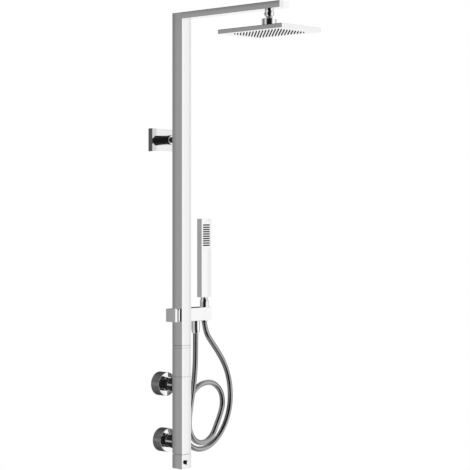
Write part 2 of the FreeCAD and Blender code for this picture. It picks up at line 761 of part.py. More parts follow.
def check_valves():
    """Non-return cartridges in the inlet tails."""
    valves = []
    for _, z, _ in INLETS:
        end = BACK_Y + TAIL_REACH - FIT
        start = end - CHECK_VALVE_LENGTH
        valves.append(pipe(INLET_BORE - FIT, CHECK_VALVE_BORE, V(0, start, z), V(0, end, z)))
    return Part.makeCompound(valves)


# ---------------------------------------------------------------- wall fixing
def wall_plate():
    """Box cover over the backplate, open to the wall."""
    half_w = PLATE_WIDTH / 2
    half_h = PLATE_TALL / 2
    shape = block(-half_w, half_w, -PLATE_DEPTH, 0, -half_h, half_h)
    rim = [
        edge for edge in shape.Edges
        if abs(edge.Vertexes[0].Y - edge.Vertexes[-1].Y) > PLATE_DEPTH / 2
    ]
    shape = shape.makeFillet(EDGE_RADIUS, rim)
    inner_w = half_w - PLATE_WALL
    inner_h = half_h - PLATE_WALL
    return shape.cut([
        block(-inner_w, inner_w, PLATE_WALL - PLATE_DEPTH, 0, -inner_h, inner_h),
        rod(STUD_RADIUS + RUNNING, V(0, -PLATE_DEPTH, 0), V(0, 0, 0)),
    ])


def wall_backplate():
    """Steel plate for two wall screws, with a blind threaded boss."""
    half_w = PLATE_WIDTH / 2 - PLATE_WALL - BACKPLATE_GAP
    half_h = PLATE_TALL / 2 - PLATE_WALL - BACKPLATE_GAP
    boss_end = PLATE_WALL - PLATE_DEPTH
    shape = block(-half_w, half_w, -BACKPLATE, 0, -half_h, half_h)
    shape = shape.fuse(rod(BOSS_RADIUS, V(0, boss_end, 0), V(0, 0, 0)))
    holes = [rod(STUD_RADIUS + FIT, V(0, boss_end, 0), V(0, -BACKPLATE, 0))]
    for x in (-FIX_SPACING / 2, FIX_SPACING / 2):
        holes.append(rod(FIX_HOLE, V(x, -BACKPLATE, 0), V(x, 0, 0)))
    return shape.cut(holes)


def standoff_stem():
    """Stem with a thread at each end, from the riser to the backplate."""
    step = BACK_Y + STEM_LENGTH
    shape = rod(STEM_RADIUS, V(0, BACK_Y, 0), V(0, step, 0))
    return shape.fuse([
        rod(ANCHOR_STUD, V(0, BACK_Y - TUBE_WALL - ANCHOR_THICKNESS, 0), V(0, BACK_Y, 0)),
        rod(STUD_RADIUS, V(0, step, 0), V(0, -BACKPLATE - FIT, 0)),
    ])


def standoff_sleeve():
    """Round sleeve between the stem's shoulder and the cover, with its screw hole."""
    start = BACK_Y + STEM_LENGTH
    end = -PLATE_DEPTH
    shape = rod(SLEEVE_OUTER, V(0, start, 0), V(0, end, 0))
    shape = shape.makeFillet(SLEEVE_EDGE, [
        edge for edge in shape.Edges
        if len(edge.Vertexes) == 1 and abs(edge.Vertexes[0].Y - start) < FIT
    ])
    shape = shape.cut(rod(STUD_RADIUS + FIT, V(0, start, 0), V(0, end, 0)))
    low, high = sleeve_grub()
    return shape.cut(rod(GRUB_RADIUS, low, high))


def sleeve_grub():
    """Ends of the screw that locks the sleeve, from below."""
    y = -PLATE_DEPTH - 2 * GRUB_LENGTH
    return V(0, y, -SLEEVE_OUTER), V(0, y, -STUD_RADIUS - FIT)


def anchor_nut():
    """Nut plate inside the riser that takes the stem."""
    half = ANCHOR_SIZE / 2
    back = BACK_Y - TUBE_WALL
    shape = block(-half, half, back - ANCHOR_THICKNESS, back, -half, half)
    return shape.cut(rod(ANCHOR_STUD + FIT, V(0, back - ANCHOR_THICKNESS, 0), V(0, back, 0)))


def set_screws():
    """Socket set screws of the riser, the sleeve and the crossbar."""
    low, high = sleeve_grub()
    spots = riser_grubs()
    spots.append((low + V(0, 0, RUNNING), high))
    spots.append(bar_grub())
    screws = []
    for start, end in spots:
        screws.append(rod(GRUB_RADIUS - FIT, start, end))
    return Part.makeCompound(screws)


# ---------------------------------------------------------------- crossbar
def bar_grub():
    """Ends of the screw that pins the crossbar to the riser, from behind."""
    back = AXIS_Y + BAR_BACK
    return V(0, BACK_Y, BAR_Z), V(0, back, BAR_Z)


def manifold():
    """Brass cross piece in the riser: straight on up, and out to both sides."""
    half = (INSIDE - MANIFOLD_GAP) / 2
    low = BAR_Z - MANIFOLD_HEIGHT / 2
    top = BAR_Z + MANIFOLD_HEIGHT / 2
    shape = block(-half, half, AXIS_Y - half, AXIS_Y + half, low, top)
    return shape.cut([
        upright(PIPE_BORE, low, top),
        upright(RISE_TUBE_RADIUS + FIT, low, low + SOCKET),
        upright(PIPE_RADIUS + FIT, top - SOCKET, top),
        rod(VALVE_RADIUS + FIT, V(-HALF, BAR_Y, BAR_Z), V(-HALF + VALVE_INSET, BAR_Y, BAR_Z)),
        rod(PIPE_BORE, V(-HALF, BAR_Y, BAR_Z), V(HALF, BAR_Y, BAR_Z)),
    ])


def holder_cone(extra):
    """The holder's tapered plug, grown sideways by some wall."""
    return lathe([
        (0, BAR_LOW),
        (CONE_SEAT_LOW + extra, BAR_LOW),
        (CONE_SEAT_TOP + extra, BAR_TOP),
        (0, BAR_TOP),
    ], HOLDER_X, BAR_Y)


def holder_slot():
    """The gap in the holder that the hose passes through."""
    return block(
        HOLDER_X, BAR_RIGHT + SLOT_WIDTH, BAR_Y - SLOT_WIDTH / 2, BAR_Y + SLOT_WIDTH / 2,
        BAR_LOW, BAR_TOP
    )


def crossbar_body():
    """Square bar that wraps the column's back and sides, with outlet and holder."""
    half = BAR_SIZE / 2
    outer = block(-BAR_LEFT, BAR_RIGHT, BAR_Y - half, BAR_Y + half, BAR_LOW, BAR_TOP)
    long_edges = [
        edge for edge in outer.Edges
        if abs(edge.Vertexes[0].X - edge.Vertexes[-1].X) > BAR_SIZE
    ]
    shape = outer.makeFillet(EDGE_RADIUS, long_edges)
    waist = NECK_SIZE / 2
    neck = block(
        -BAR_LEFT - NECK_LENGTH, -BAR_LEFT, BAR_Y - waist, BAR_Y + waist,
        BAR_Z - waist, BAR_Z + waist
    )
    saddle = block(-HALF, HALF, BAR_Y - half, BACK_Y, BAR_LOW, BAR_TOP)
    socket_top = BAR_LOW + OUTLET_SOCKET
    start, end = bar_grub()
    return shape.fuse(neck).cut([
        saddle,
        rod(VALVE_RADIUS + FIT, V(-BAR_LEFT - NECK_LENGTH, BAR_Y, BAR_Z), V(0, BAR_Y, BAR_Z)),
        rod(BAR_BORE, V(0, BAR_Y, BAR_Z), V(OUTLET_X, BAR_Y, BAR_Z)),
        upright(BAR_BORE, BAR_LOW, BAR_Z, OUTLET_X, BAR_Y),
        upright(THREAD_HALF_INCH + FIT, BAR_LOW, socket_top, OUTLET_X, BAR_Y),
        holder_cone(RUNNING + LINER_WALL),
        holder_slot(),
        rod(GRUB_RADIUS, start, end),
    ])


def holder_liner():
    """Plastic liner of the holder, open where the hose passes."""
    return holder_cone(RUNNING + LINER_WALL).cut([holder_cone(RUNNING), holder_slot()])


def hand_valve_cartridge():
    """Quarter-turn cartridge of the hand shower outlet."""
    start = -BAR_LEFT - NECK_LENGTH
    end = -HALF + VALVE_INSET
    shape = rod(VALVE_RADIUS, V(start, BAR_Y, BAR_Z), V(end, BAR_Y, BAR_Z))
    return shape.cut(rod(
        VALVE_BORE, V(start, BAR_Y, BAR_Z), V(end - GRUB_RADIUS, BAR_Y, BAR_Z)
    ))


def hand_knob():
    """Square plate knob at the crossbar's left end."""
    half = BAR_SIZE / 2
    end = -BAR_LEFT - NECK_LENGTH - RUNNING
    start = end - KNOB_THICKNESS
    shape = block(start, end, BAR_Y - half, BAR_Y + half, BAR_LOW, BAR_TOP)
    edges = [
        edge for edge in shape.Edges
        if abs(edge.Vertexes[0].X - edge.Vertexes[-1].X) > KNOB_THICKNESS / 2
    ]
    shape = shape.makeFillet(EDGE_RADIUS, edges)
    return shape.cut(rod(
        VALVE_SPINDLE, V(end - KNOB_THICKNESS / 2, BAR_Y, BAR_Z), V(end, BAR_Y, BAR_Z)
    ))


def hand_knob_spindle():
    """Spindle from the knob into the hand shower cartridge."""
    knob_face = -BAR_LEFT - NECK_LENGTH - RUNNING
    end = -HALF + VALVE_INSET - GRUB_RADIUS - RUNNING
    return rod(
        VALVE_SPINDLE, V(knob_face - KNOB_THICKNESS / 2, BAR_Y, BAR_Z), V(end, BAR_Y, BAR_Z)
    )


def hose_outlet():
    """Threaded outlet below the crossbar."""
    low = BAR_LOW - OUTLET_REACH
    top = BAR_LOW + OUTLET_SOCKET
    return pipe(
        THREAD_HALF_INCH, OUTLET_BORE, V(OUTLET_X, BAR_Y, low), V(OUTLET_X, BAR_Y, top)
    )


def hose_outlet_nut():
    """Long tapering nut that joins the hose to the outlet."""
    top = BAR_LOW - RUNNING
    low = BAR_LOW - NUT_LENGTH
    seat = BAR_LOW - OUTLET_REACH - WASHER
    shape = lathe([
        (0, low),
        (NUT_LOW_RADIUS - NUT_CHAMFER, low),
        (NUT_LOW_RADIUS, low + NUT_CHAMFER),
        (NUT_TOP_RADIUS, low + NUT_TAPER_END),
        (NUT_TOP_RADIUS, top),
        (0, top),
    ], OUTLET_X, BAR_Y)
    return shape.cut([
        upright(THREAD_HALF_INCH + FIT, seat, top, OUTLET_X, BAR_Y),
        upright(SPIGOT_BORE, low, seat, OUTLET_X, BAR_Y),
    ])


def outlet_washer():
    """Rubber washer between the outlet and its nut."""
    low = BAR_LOW - OUTLET_REACH - WASHER
    return pipe(
        THREAD_HALF_INCH - FIT, OUTLET_BORE,
        V(OUTLET_X, BAR_Y, low), V(OUTLET_X, BAR_Y, low + WASHER)
    )


# ---------------------------------------------------------------- hose
def hose():
    """The hose as straight runs joined by the largest arcs that they allow."""
    points = [V(OUTLET_X, BAR_Y, BAR_LOW - NUT_LENGTH)]
    points.append(V(OUTLET_X, BAR_Y, BAR_LOW - NUT_LENGTH - HOSE_DROP))
    points += [V(x, AXIS_Y + y, up(z)) for x, y, z in HOSE_ROUTE]
    points.append(V(HOLDER_X, BAR_Y, BAR_LOW - CONE_TAIL - HOSE_TAIL))
    edges = []
    here = points[0]
    for before, corner, after in zip(points, points[1:], points[2:]):
        inward = corner - before
        outward = after - corner
        shorter = min(inward.Length, outward.Length)
        half_turn = inward.getAngle(outward) / 2
        setback = 0.45 * shorter
        radius = setback / math.tan(half_turn)
        inward.normalize()
        outward.normalize()
        arc_start = corner - inward * setback
        arc_end = corner + outward * setback
        to_centre = outward - inward
        to_centre.normalize()
        middle = corner + to_centre * (radius / math.cos(half_turn) - radius)
        edges.append(Part.LineSegment(here, arc_start).toShape())
        edges.append(Part.Arc(arc_start, middle, arc_end).toShape())
        here = arc_end
        print("hose bend", [round(value) for value in corner], "radius", round(radius, 1))
    edges.append(Part.LineSegment(here, points[-1]).toShape())
    path = Part.Wire(edges)
    section = Part.Wire(Part.makeCircle(HOSE_DIAMETER / 2, points[0], points[1] - points[0]))
    tube = path.makePipeShell([section], True, False)
    expected = math.pi * HOSE_DIAMETER ** 2 / 4 * path.Length
    print("hose length", round(path.Length, 1), "volume ratio", round(tube.Volume / expected, 4))
    return tube


# ---------------------------------------------------------------- hand shower
def handset_low():
    """Underside of the handset's body."""
    return BAR_TOP + HANDSET_LIFT


def cone_seat():
    """Height of the shoulder that the hose washer rests on."""
    return handset_low() - SPIGOT_REACH - WASHER - RUNNING


def hose_cone():
    """Tapered hose nut that rests in the holder and carries the handset."""
    low = BAR_LOW - CONE_TAIL
    top = handset_low() - RUNNING
    widest = BAR_TOP + CONE_WIDEST_RISE
    shape = lathe([
        (0, low),
        (CONE_END_RADIUS, low),
        (CONE_SEAT_LOW, BAR_LOW),
        (CONE_SEAT_TOP, BAR_TOP),
        (CONE_MAX_RADIUS, widest),
        (CONE_MAX_RADIUS, widest + CONE_BAND),
        (CONE_SHOULDER_RADIUS, top - CONE_SHOULDER_DROP),
        (CONE_TOP_RADIUS, top),
        (0, top),
    ], HOLDER_X, BAR_Y)
    return shape.cut([
        upright(SPIGOT_RADIUS + RUNNING, cone_seat(), top, HOLDER_X, BAR_Y),
        upright(SPIGOT_BORE, low, cone_seat(), HOLDER_X, BAR_Y),
    ])


def hose_washer():
    """Rubber washer under the handset's spigot."""
    low = cone_seat()
    return pipe(
        SPIGOT_RADIUS, SPIGOT_BORE, V(HOLDER_X, BAR_Y, low), V(HOLDER_X, BAR_Y, low + WASHER)
    )


def handset_spigot():
    """Inlet tube of the handset."""
    low = handset_low() - SPIGOT_REACH
    top = handset_low() + SPIGOT_REACH
    return pipe(SPIGOT_RADIUS, SPIGOT_BORE, V(HOLDER_X, BAR_Y, low), V(HOLDER_X, BAR_Y, top))


def face_window(gap):
    """The spray face's block, grown by a gap on its four sides."""
    front = BAR_Y - HANDSET_DEPTH / 2
    top = handset_low() + HANDSET_LENGTH - FACE_TOP
    half = FACE_WIDTH / 2
    return block(
        HOLDER_X - half - gap, HOLDER_X + half + gap,
        front, front + FACE_THICKNESS, top - FACE_TALL - gap, top + gap
    )


def handset_shell():
    """Hollow rectangular handset, closed at both ends, with the face's window."""
    low = handset_low()
    top = low + HANDSET_LENGTH
    shape = rounded(
        HANDSET_WIDTH, HANDSET_DEPTH, low, top, HOLDER_X, BAR_Y, HANDSET_EDGE
    )
    half_w = HANDSET_WIDTH / 2 - HANDSET_WALL
    half_d = HANDSET_DEPTH / 2 - HANDSET_WALL
    hollow = block(
        HOLDER_X - half_w, HOLDER_X + half_w, BAR_Y - half_d, BAR_Y + half_d,
        low + HANDSET_WALL, top - HANDSET_WALL
    )
    inlet = upright(SPIGOT_RADIUS + FIT, low, low + HANDSET_WALL, HOLDER_X, BAR_Y)
    return shape.cut([hollow, inlet, face_window(FIT)])


def row_bar(index, grow, front, back):
    """One nozzle row's block, counted from the top."""
    z = handset_low() + HANDSET_LENGTH - ROW_TOP - index * ROW_PITCH
    half_w = ROW_WIDTH / 2 + grow
    half_t = ROW_TALL / 2 + grow
    return block(HOLDER_X - half_w, HOLDER_X + half_w, front, back, z - half_t, z + half_t)


def handset_face():
    """Spray face with a slot for each row of nozzles."""
    front = BAR_Y - HANDSET_DEPTH / 2
    slots = [row_bar(i, FIT, front, front + FACE_THICKNESS) for i in range(ROW_COUNT)]
    return face_window(0).cut(slots)


def handset_nozzles():
    """Soft nozzle rows joined by one mat behind the face."""
    front = BAR_Y - HANDSET_DEPTH / 2
    back = front + FACE_THICKNESS
    top = handset_low() + HANDSET_LENGTH - FACE_TOP
    half = (FACE_WIDTH - FACE_THICKNESS) / 2
    mat = block(
        HOLDER_X - half, HOLDER_X + half, back, back + MAT_THICKNESS,
        top - FACE_TALL + FACE_THICKNESS, top - FACE_THICKNESS
    )
    rows = [row_bar(i, 0, front - ROW_PROUD, back) for i in range(ROW_COUNT)]
    return mat.fuse(rows)


# ---------------------------------------------------------------- overhead head
def ball_stem():
    """Fixed stem under the arm, turned in one piece with the ball."""
    top = TOP - 3 * TUBE_WALL
    waist = ARM_LOW - WAIST_DROP
    bulb = ARM_LOW - BULB_DROP
    turned = lathe([
        (0, BALL_Z),
        (BALL_NECK, BALL_Z),
        (BALL_NECK, waist - WAIST_TAPER),
        (WAIST_RADIUS, waist),
        (BULB_UNDERCUT, ARM_LOW - UNDERCUT_DROP),
        (BULB_RADIUS, bulb - BULB_BAND),
        (BULB_RADIUS, bulb + BULB_BAND),
        (COLLAR_RADIUS, ARM_LOW - COLLAR_LENGTH),
        (COLLAR_RADIUS, ARM_LOW),
        (SPIGOT_THREAD, ARM_LOW),
        (SPIGOT_THREAD, top),
        (0, top),
    ], 0, NECK_Y)
    ball = Part.makeSphere(BALL_RADIUS, V(0, NECK_Y, BALL_Z))
    groove = ring_around(SPIGOT_THREAD - 2 * O_RING, SPIGOT_THREAD, ARM_MID_Z, O_RING + FIT)
    shape = turned.fuse(ball).cut([
        upright(STEM_BORE, BALL_Z - BALL_RADIUS, top, 0, NECK_Y),
        groove,
    ])
    return shape


def ring_around(inner, outer, z, half_height):
    """A flat ring on the neck's axis."""
    return pipe(outer, inner, V(0, NECK_Y, z - half_height), V(0, NECK_Y, z + half_height))


def stem_o_ring():
    """O-ring in the stem's groove."""
    return Part.makeTorus(SPIGOT_THREAD - O_RING, O_RING, V(0, NECK_Y, ARM_MID_Z))


def ball_shell(low, high):
    """A slice of the spherical gap around the ball, between two heights."""
    centre = V(0, NECK_Y, BALL_Z)
    shell = Part.makeSphere(SEAT_OUTER, centre).cut(
        Part.makeSphere(BALL_RADIUS + SEAT_GAP, centre)
    )
    keep = block(
        -SEAT_OUTER, SEAT_OUTER, NECK_Y - SEAT_OUTER, NECK_Y + SEAT_OUTER, low, high
    )
    return shell.common(keep)


def ball_seat():
    """Plastic seat over the ball."""
    return ball_shell(BALL_Z + SEAT_PARTING, BALL_Z + SEAT_RISE)


def ball_seal():
    """Rubber cup seal under the ball."""
    return ball_shell(BALL_Z - SEAL_DROP, BALL_Z - SEAT_PARTING)


def ball_nut():
    """Retaining nut over the ball, flared at the top so that the head can tilt."""
    low = HEAD_TOP + RUNNING
    top = low + BALL_NUT_HEIGHT
    lip = top - NUT_MOUTH_LIP
    throat = math.sqrt((SEAT_OUTER + SEAT_GAP) ** 2 - (lip - BALL_Z) ** 2)
    shape = upright(BALL_NUT_RADIUS, low, top, 0, NECK_Y)
    shape = shape.makeChamfer(NUT_CHAMFER, [
        edge for edge in shape.Edges if len(edge.Vertexes) == 1
    ])
    flare = lathe([
        (0, lip),
        (throat, lip),
        (FLARE_RADIUS, top),
        (0, top),
    ], 0, NECK_Y)
    return shape.cut([
        Part.makeSphere(SEAT_OUTER + SEAT_GAP, V(0, NECK_Y, BALL_Z)),
        flare,
        upright(HEAD_BOSS_RADIUS + FIT, low, HEAD_TOP + HEAD_BOSS_HEIGHT + FIT, 0, NECK_Y),
    ])


def head_shell():
    """Shallow tray of the head with the threaded boss for the ball nut."""
    shape = rounded(
        HEAD_WIDTH, HEAD_LENGTH, HEAD_LOW, HEAD_TOP, 0, NECK_Y, HEAD_EDGE
    )
    top_rim = [
        edge for edge in shape.Edges
        if all(abs(vertex.Z - HEAD_TOP) < FIT for vertex in edge.Vertexes)
    ]
    shape = shape.makeFillet(HEAD_EDGE, top_rim)
    half_w = HEAD_WIDTH / 2 - HEAD_RIM
    half_l = HEAD_LENGTH / 2 - HEAD_RIM
    tray = block(
        -half_w, half_w, NECK_Y - half_l, NECK_Y + half_l, HEAD_LOW, HEAD_TOP - HEAD_TOP_WALL
    )
    boss = upright(HEAD_BOSS_RADIUS, HEAD_TOP, HEAD_TOP + HEAD_BOSS_HEIGHT, 0, NECK_Y)
    return shape.fuse(boss).cut([
        tray,
        Part.makeSphere(SEAT_OUTER + SEAT_GAP, V(0, NECK_Y, BALL_Z)),
        upright(WATER_BORE, HEAD_LOW, BALL_Z, 0, NECK_Y),
    ])


def nozzle_spots():
    """Centres of the head's nozzles."""
    spots = []
    for row in range(NOZZLES_ALONG):
        for place in range(NOZZLES_ACROSS):
            x = (place - (NOZZLES_ACROSS - 1) / 2) * NOZZLE_PITCH
            y = NECK_Y + (row - (NOZZLES_ALONG - 1) / 2) * NOZZLE_PITCH
            spots.append((x, y))
    return spots


def head_face_plate():
    """Spray plate, flush with the tray's rim, with a hole for each nozzle."""
    half_w = HEAD_WIDTH / 2 - HEAD_RIM - FIT
    half_l = HEAD_LENGTH / 2 - HEAD_RIM - FIT
    top = HEAD_LOW + FACE_PLATE
    plate = block(-half_w, half_w, NECK_Y - half_l, NECK_Y + half_l, HEAD_LOW, top)
    holes = [upright(NOZZLE_RADIUS + FIT, HEAD_LOW, top, x, y) for x, y in nozzle_spots()]
    return plate.cut(Part.makeCompound(holes))


def head_nozzles():
    """Silicone mat with a tapered nozzle through each hole of the plate."""
    low = HEAD_LOW + FACE_PLATE
    half_w = (NOZZLES_ACROSS - 1) / 2 * NOZZLE_PITCH + MAT_MARGIN
    half_l = (NOZZLES_ALONG - 1) / 2 * NOZZLE_PITCH + MAT_MARGIN
    mat = block(-half_w, half_w, NECK_Y - half_l, NECK_Y + half_l, low, low + MAT_THICKNESS)
    nozzles = []
    for x, y in nozzle_spots():
        nozzles.append(Part.makeCone(
            NOZZLE_TIP, NOZZLE_RADIUS, NOZZLE_PROUD + FACE_PLATE,
            V(x, y, HEAD_LOW - NOZZLE_PROUD), V(0, 0, 1)
        ))
    return mat.fuse(nozzles)


def head_seal():
    """Flat gasket between the tray and the spray plate."""
    half_w = HEAD_WIDTH / 2 - HEAD_RIM - FIT
    half_l = HEAD_LENGTH / 2 - HEAD_RIM - FIT
    low = HEAD_LOW + FACE_PLATE
    top = low + SEAL_THICKNESS
    outer = block(-half_w, half_w, NECK_Y - half_l, NECK_Y + half_l, low, top)
    return outer.cut(block(
        -half_w + SEAL_WIDTH, half_w - SEAL_WIDTH,
        NECK_Y - half_l + SEAL_WIDTH, NECK_Y + half_l - SEAL_WIDTH, low, top
    ))


def flow_regulator():
    """Perforated disc in the head's boss that limits the flow."""
    low = HEAD_TOP - HEAD_TOP_WALL
    disc = upright(WATER_BORE - FIT, low, HEAD_TOP, 0, NECK_Y)
    holes = [upright(O_RING, low, HEAD_TOP, x, NECK_Y) for x in (-2 * O_RING, 2 * O_RING)]
    return disc.cut(holes)


# ---------------------------------------------------------------- write the pieces
PIECES = {
    "riser_tube": riser_tube,
    "riser_top_cap": riser_top_cap,
    "arm_tube": arm_tube,
    "arm_end_cap": arm_end_cap,
    "arm_outlet_block": arm_outlet_block,
    "water_pipe": water_pipe,
    "riser_collar": riser_collar,
    "riser_coupling": riser_coupling,
    "valve_housing": valve_housing,
    "valve_core": valve_core,
    "thermostatic_cartridge": thermostatic_cartridge,
    "thermostatic_element": thermostatic_element,
    "thermostat_spring": thermostat_spring,
    "flow_cartridge": flow_cartridge,
    "ceramic_disc": ceramic_disc,
    "flow_sleeve": flow_sleeve,
    "flow_handle": flow_handle,
    "temp_handle": temp_handle,
    "temp_handle_hub": temp_handle_hub,
    "temp_handle_screw": temp_handle_screw,
    "stop_button": stop_button,
    "button_spring": button_spring,
    "union_nuts": union_nuts,
    "wall_flanges": wall_flanges,
    "filter_gaskets": filter_gaskets,
    "check_valves": check_valves,
    "wall_plate": wall_plate,
    "wall_backplate": wall_backplate,
    "standoff_stem": standoff_stem,
    "standoff_sleeve": standoff_sleeve,
    "anchor_nut": anchor_nut,
    "set_screws": set_screws,
    "manifold": manifold,
    "crossbar_body": crossbar_body,
    "holder_liner": holder_liner,
    "hand_valve_cartridge": hand_valve_cartridge,
    "hand_knob": hand_knob,
    "hand_knob_spindle": hand_knob_spindle,
    "hose_outlet": hose_outlet,
    "hose_outlet_nut": hose_outlet_nut,
    "outlet_washer": outlet_washer,
    "hose": hose,
    "hose_cone": hose_cone,
    "hose_washer": hose_washer,
    "handset_spigot": handset_spigot,
    "handset_shell": handset_shell,
    "handset_face": handset_face,
    "handset_nozzles": handset_nozzles,
    "ball_stem": ball_stem,
    "stem_o_ring": stem_o_ring,
    "ball_seat": ball_seat,
    "ball_seal": ball_seal,
    "ball_nut": ball_nut,
    "head_shell": head_shell,
    "head_face_plate": head_face_plate,
    "head_nozzles": head_nozzles,
    "head_seal": head_seal,
    "flow_regulator": flow_regulator,
}

os.makedirs("parts", exist_ok=True)
for name, make in PIECES.items():
    save(name, make())
for side, inlet_z, throw in INLETS:
    save(side + "_eccentric_union", eccentric_union(inlet_z, throw))
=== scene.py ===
"""Visual model of a wall-mounted rainfall shower column with a hand shower.

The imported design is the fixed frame.  Its pieces keep their own meshes and are
dressed here, each in its finish.  The metal hose is built here, with its wound
groove, and stands for the design's own plain hose.
"""

import enum
import json
import logging
import math
from dataclasses import dataclass, field
from typing import List, Optional, Sequence, Tuple, Union

import bmesh
import bpy
import numpy as np
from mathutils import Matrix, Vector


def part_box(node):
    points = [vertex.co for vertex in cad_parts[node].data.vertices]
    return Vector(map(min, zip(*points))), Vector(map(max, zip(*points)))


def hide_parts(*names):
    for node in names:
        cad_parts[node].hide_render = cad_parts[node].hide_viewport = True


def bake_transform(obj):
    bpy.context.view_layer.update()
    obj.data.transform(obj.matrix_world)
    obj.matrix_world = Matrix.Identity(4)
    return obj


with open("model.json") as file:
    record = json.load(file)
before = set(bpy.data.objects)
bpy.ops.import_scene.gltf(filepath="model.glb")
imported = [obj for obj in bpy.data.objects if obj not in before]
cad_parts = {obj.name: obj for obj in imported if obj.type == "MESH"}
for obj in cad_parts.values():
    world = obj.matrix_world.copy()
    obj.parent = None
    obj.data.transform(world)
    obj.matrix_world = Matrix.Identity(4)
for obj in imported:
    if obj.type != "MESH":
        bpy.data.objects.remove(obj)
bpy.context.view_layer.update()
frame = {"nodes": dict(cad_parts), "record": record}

LOG = logging.getLogger("shower_column")
MM = 0.001
LEVEL = math.radians(90)  # tilt of a camera or a card that looks level
MIX_COLOURS = (6, 7)  # the mix node's colour inputs
MIX_COLOUR = 2  # its colour output
MIX_FACTOR = 0  # its factor input
MIX_NUMBERS = (2, 3)  # its number inputs
Point = Tuple[float, float, float]
Number = Union[float, bpy.types.NodeSocket]


class Body(enum.Enum):
    """The moving groups that the hose's two ends belong to."""

    COLUMN = "column_body"
    CONE = "hose_cone_body"


class Slot(enum.Enum):
    """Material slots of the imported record."""

    CHROME = "chrome"
    HOSE = "hose_metal"
    SPRAY = "spray_steel"
    HANDSET = "handset_chrome"
    BRASS = "brass"
    STEEL = "steel"
    RUBBER = "dark_rubber"
    PLASTIC = "engineering_plastic"
    CERAMIC = "ceramic"
    BUTTON = "button_chrome"


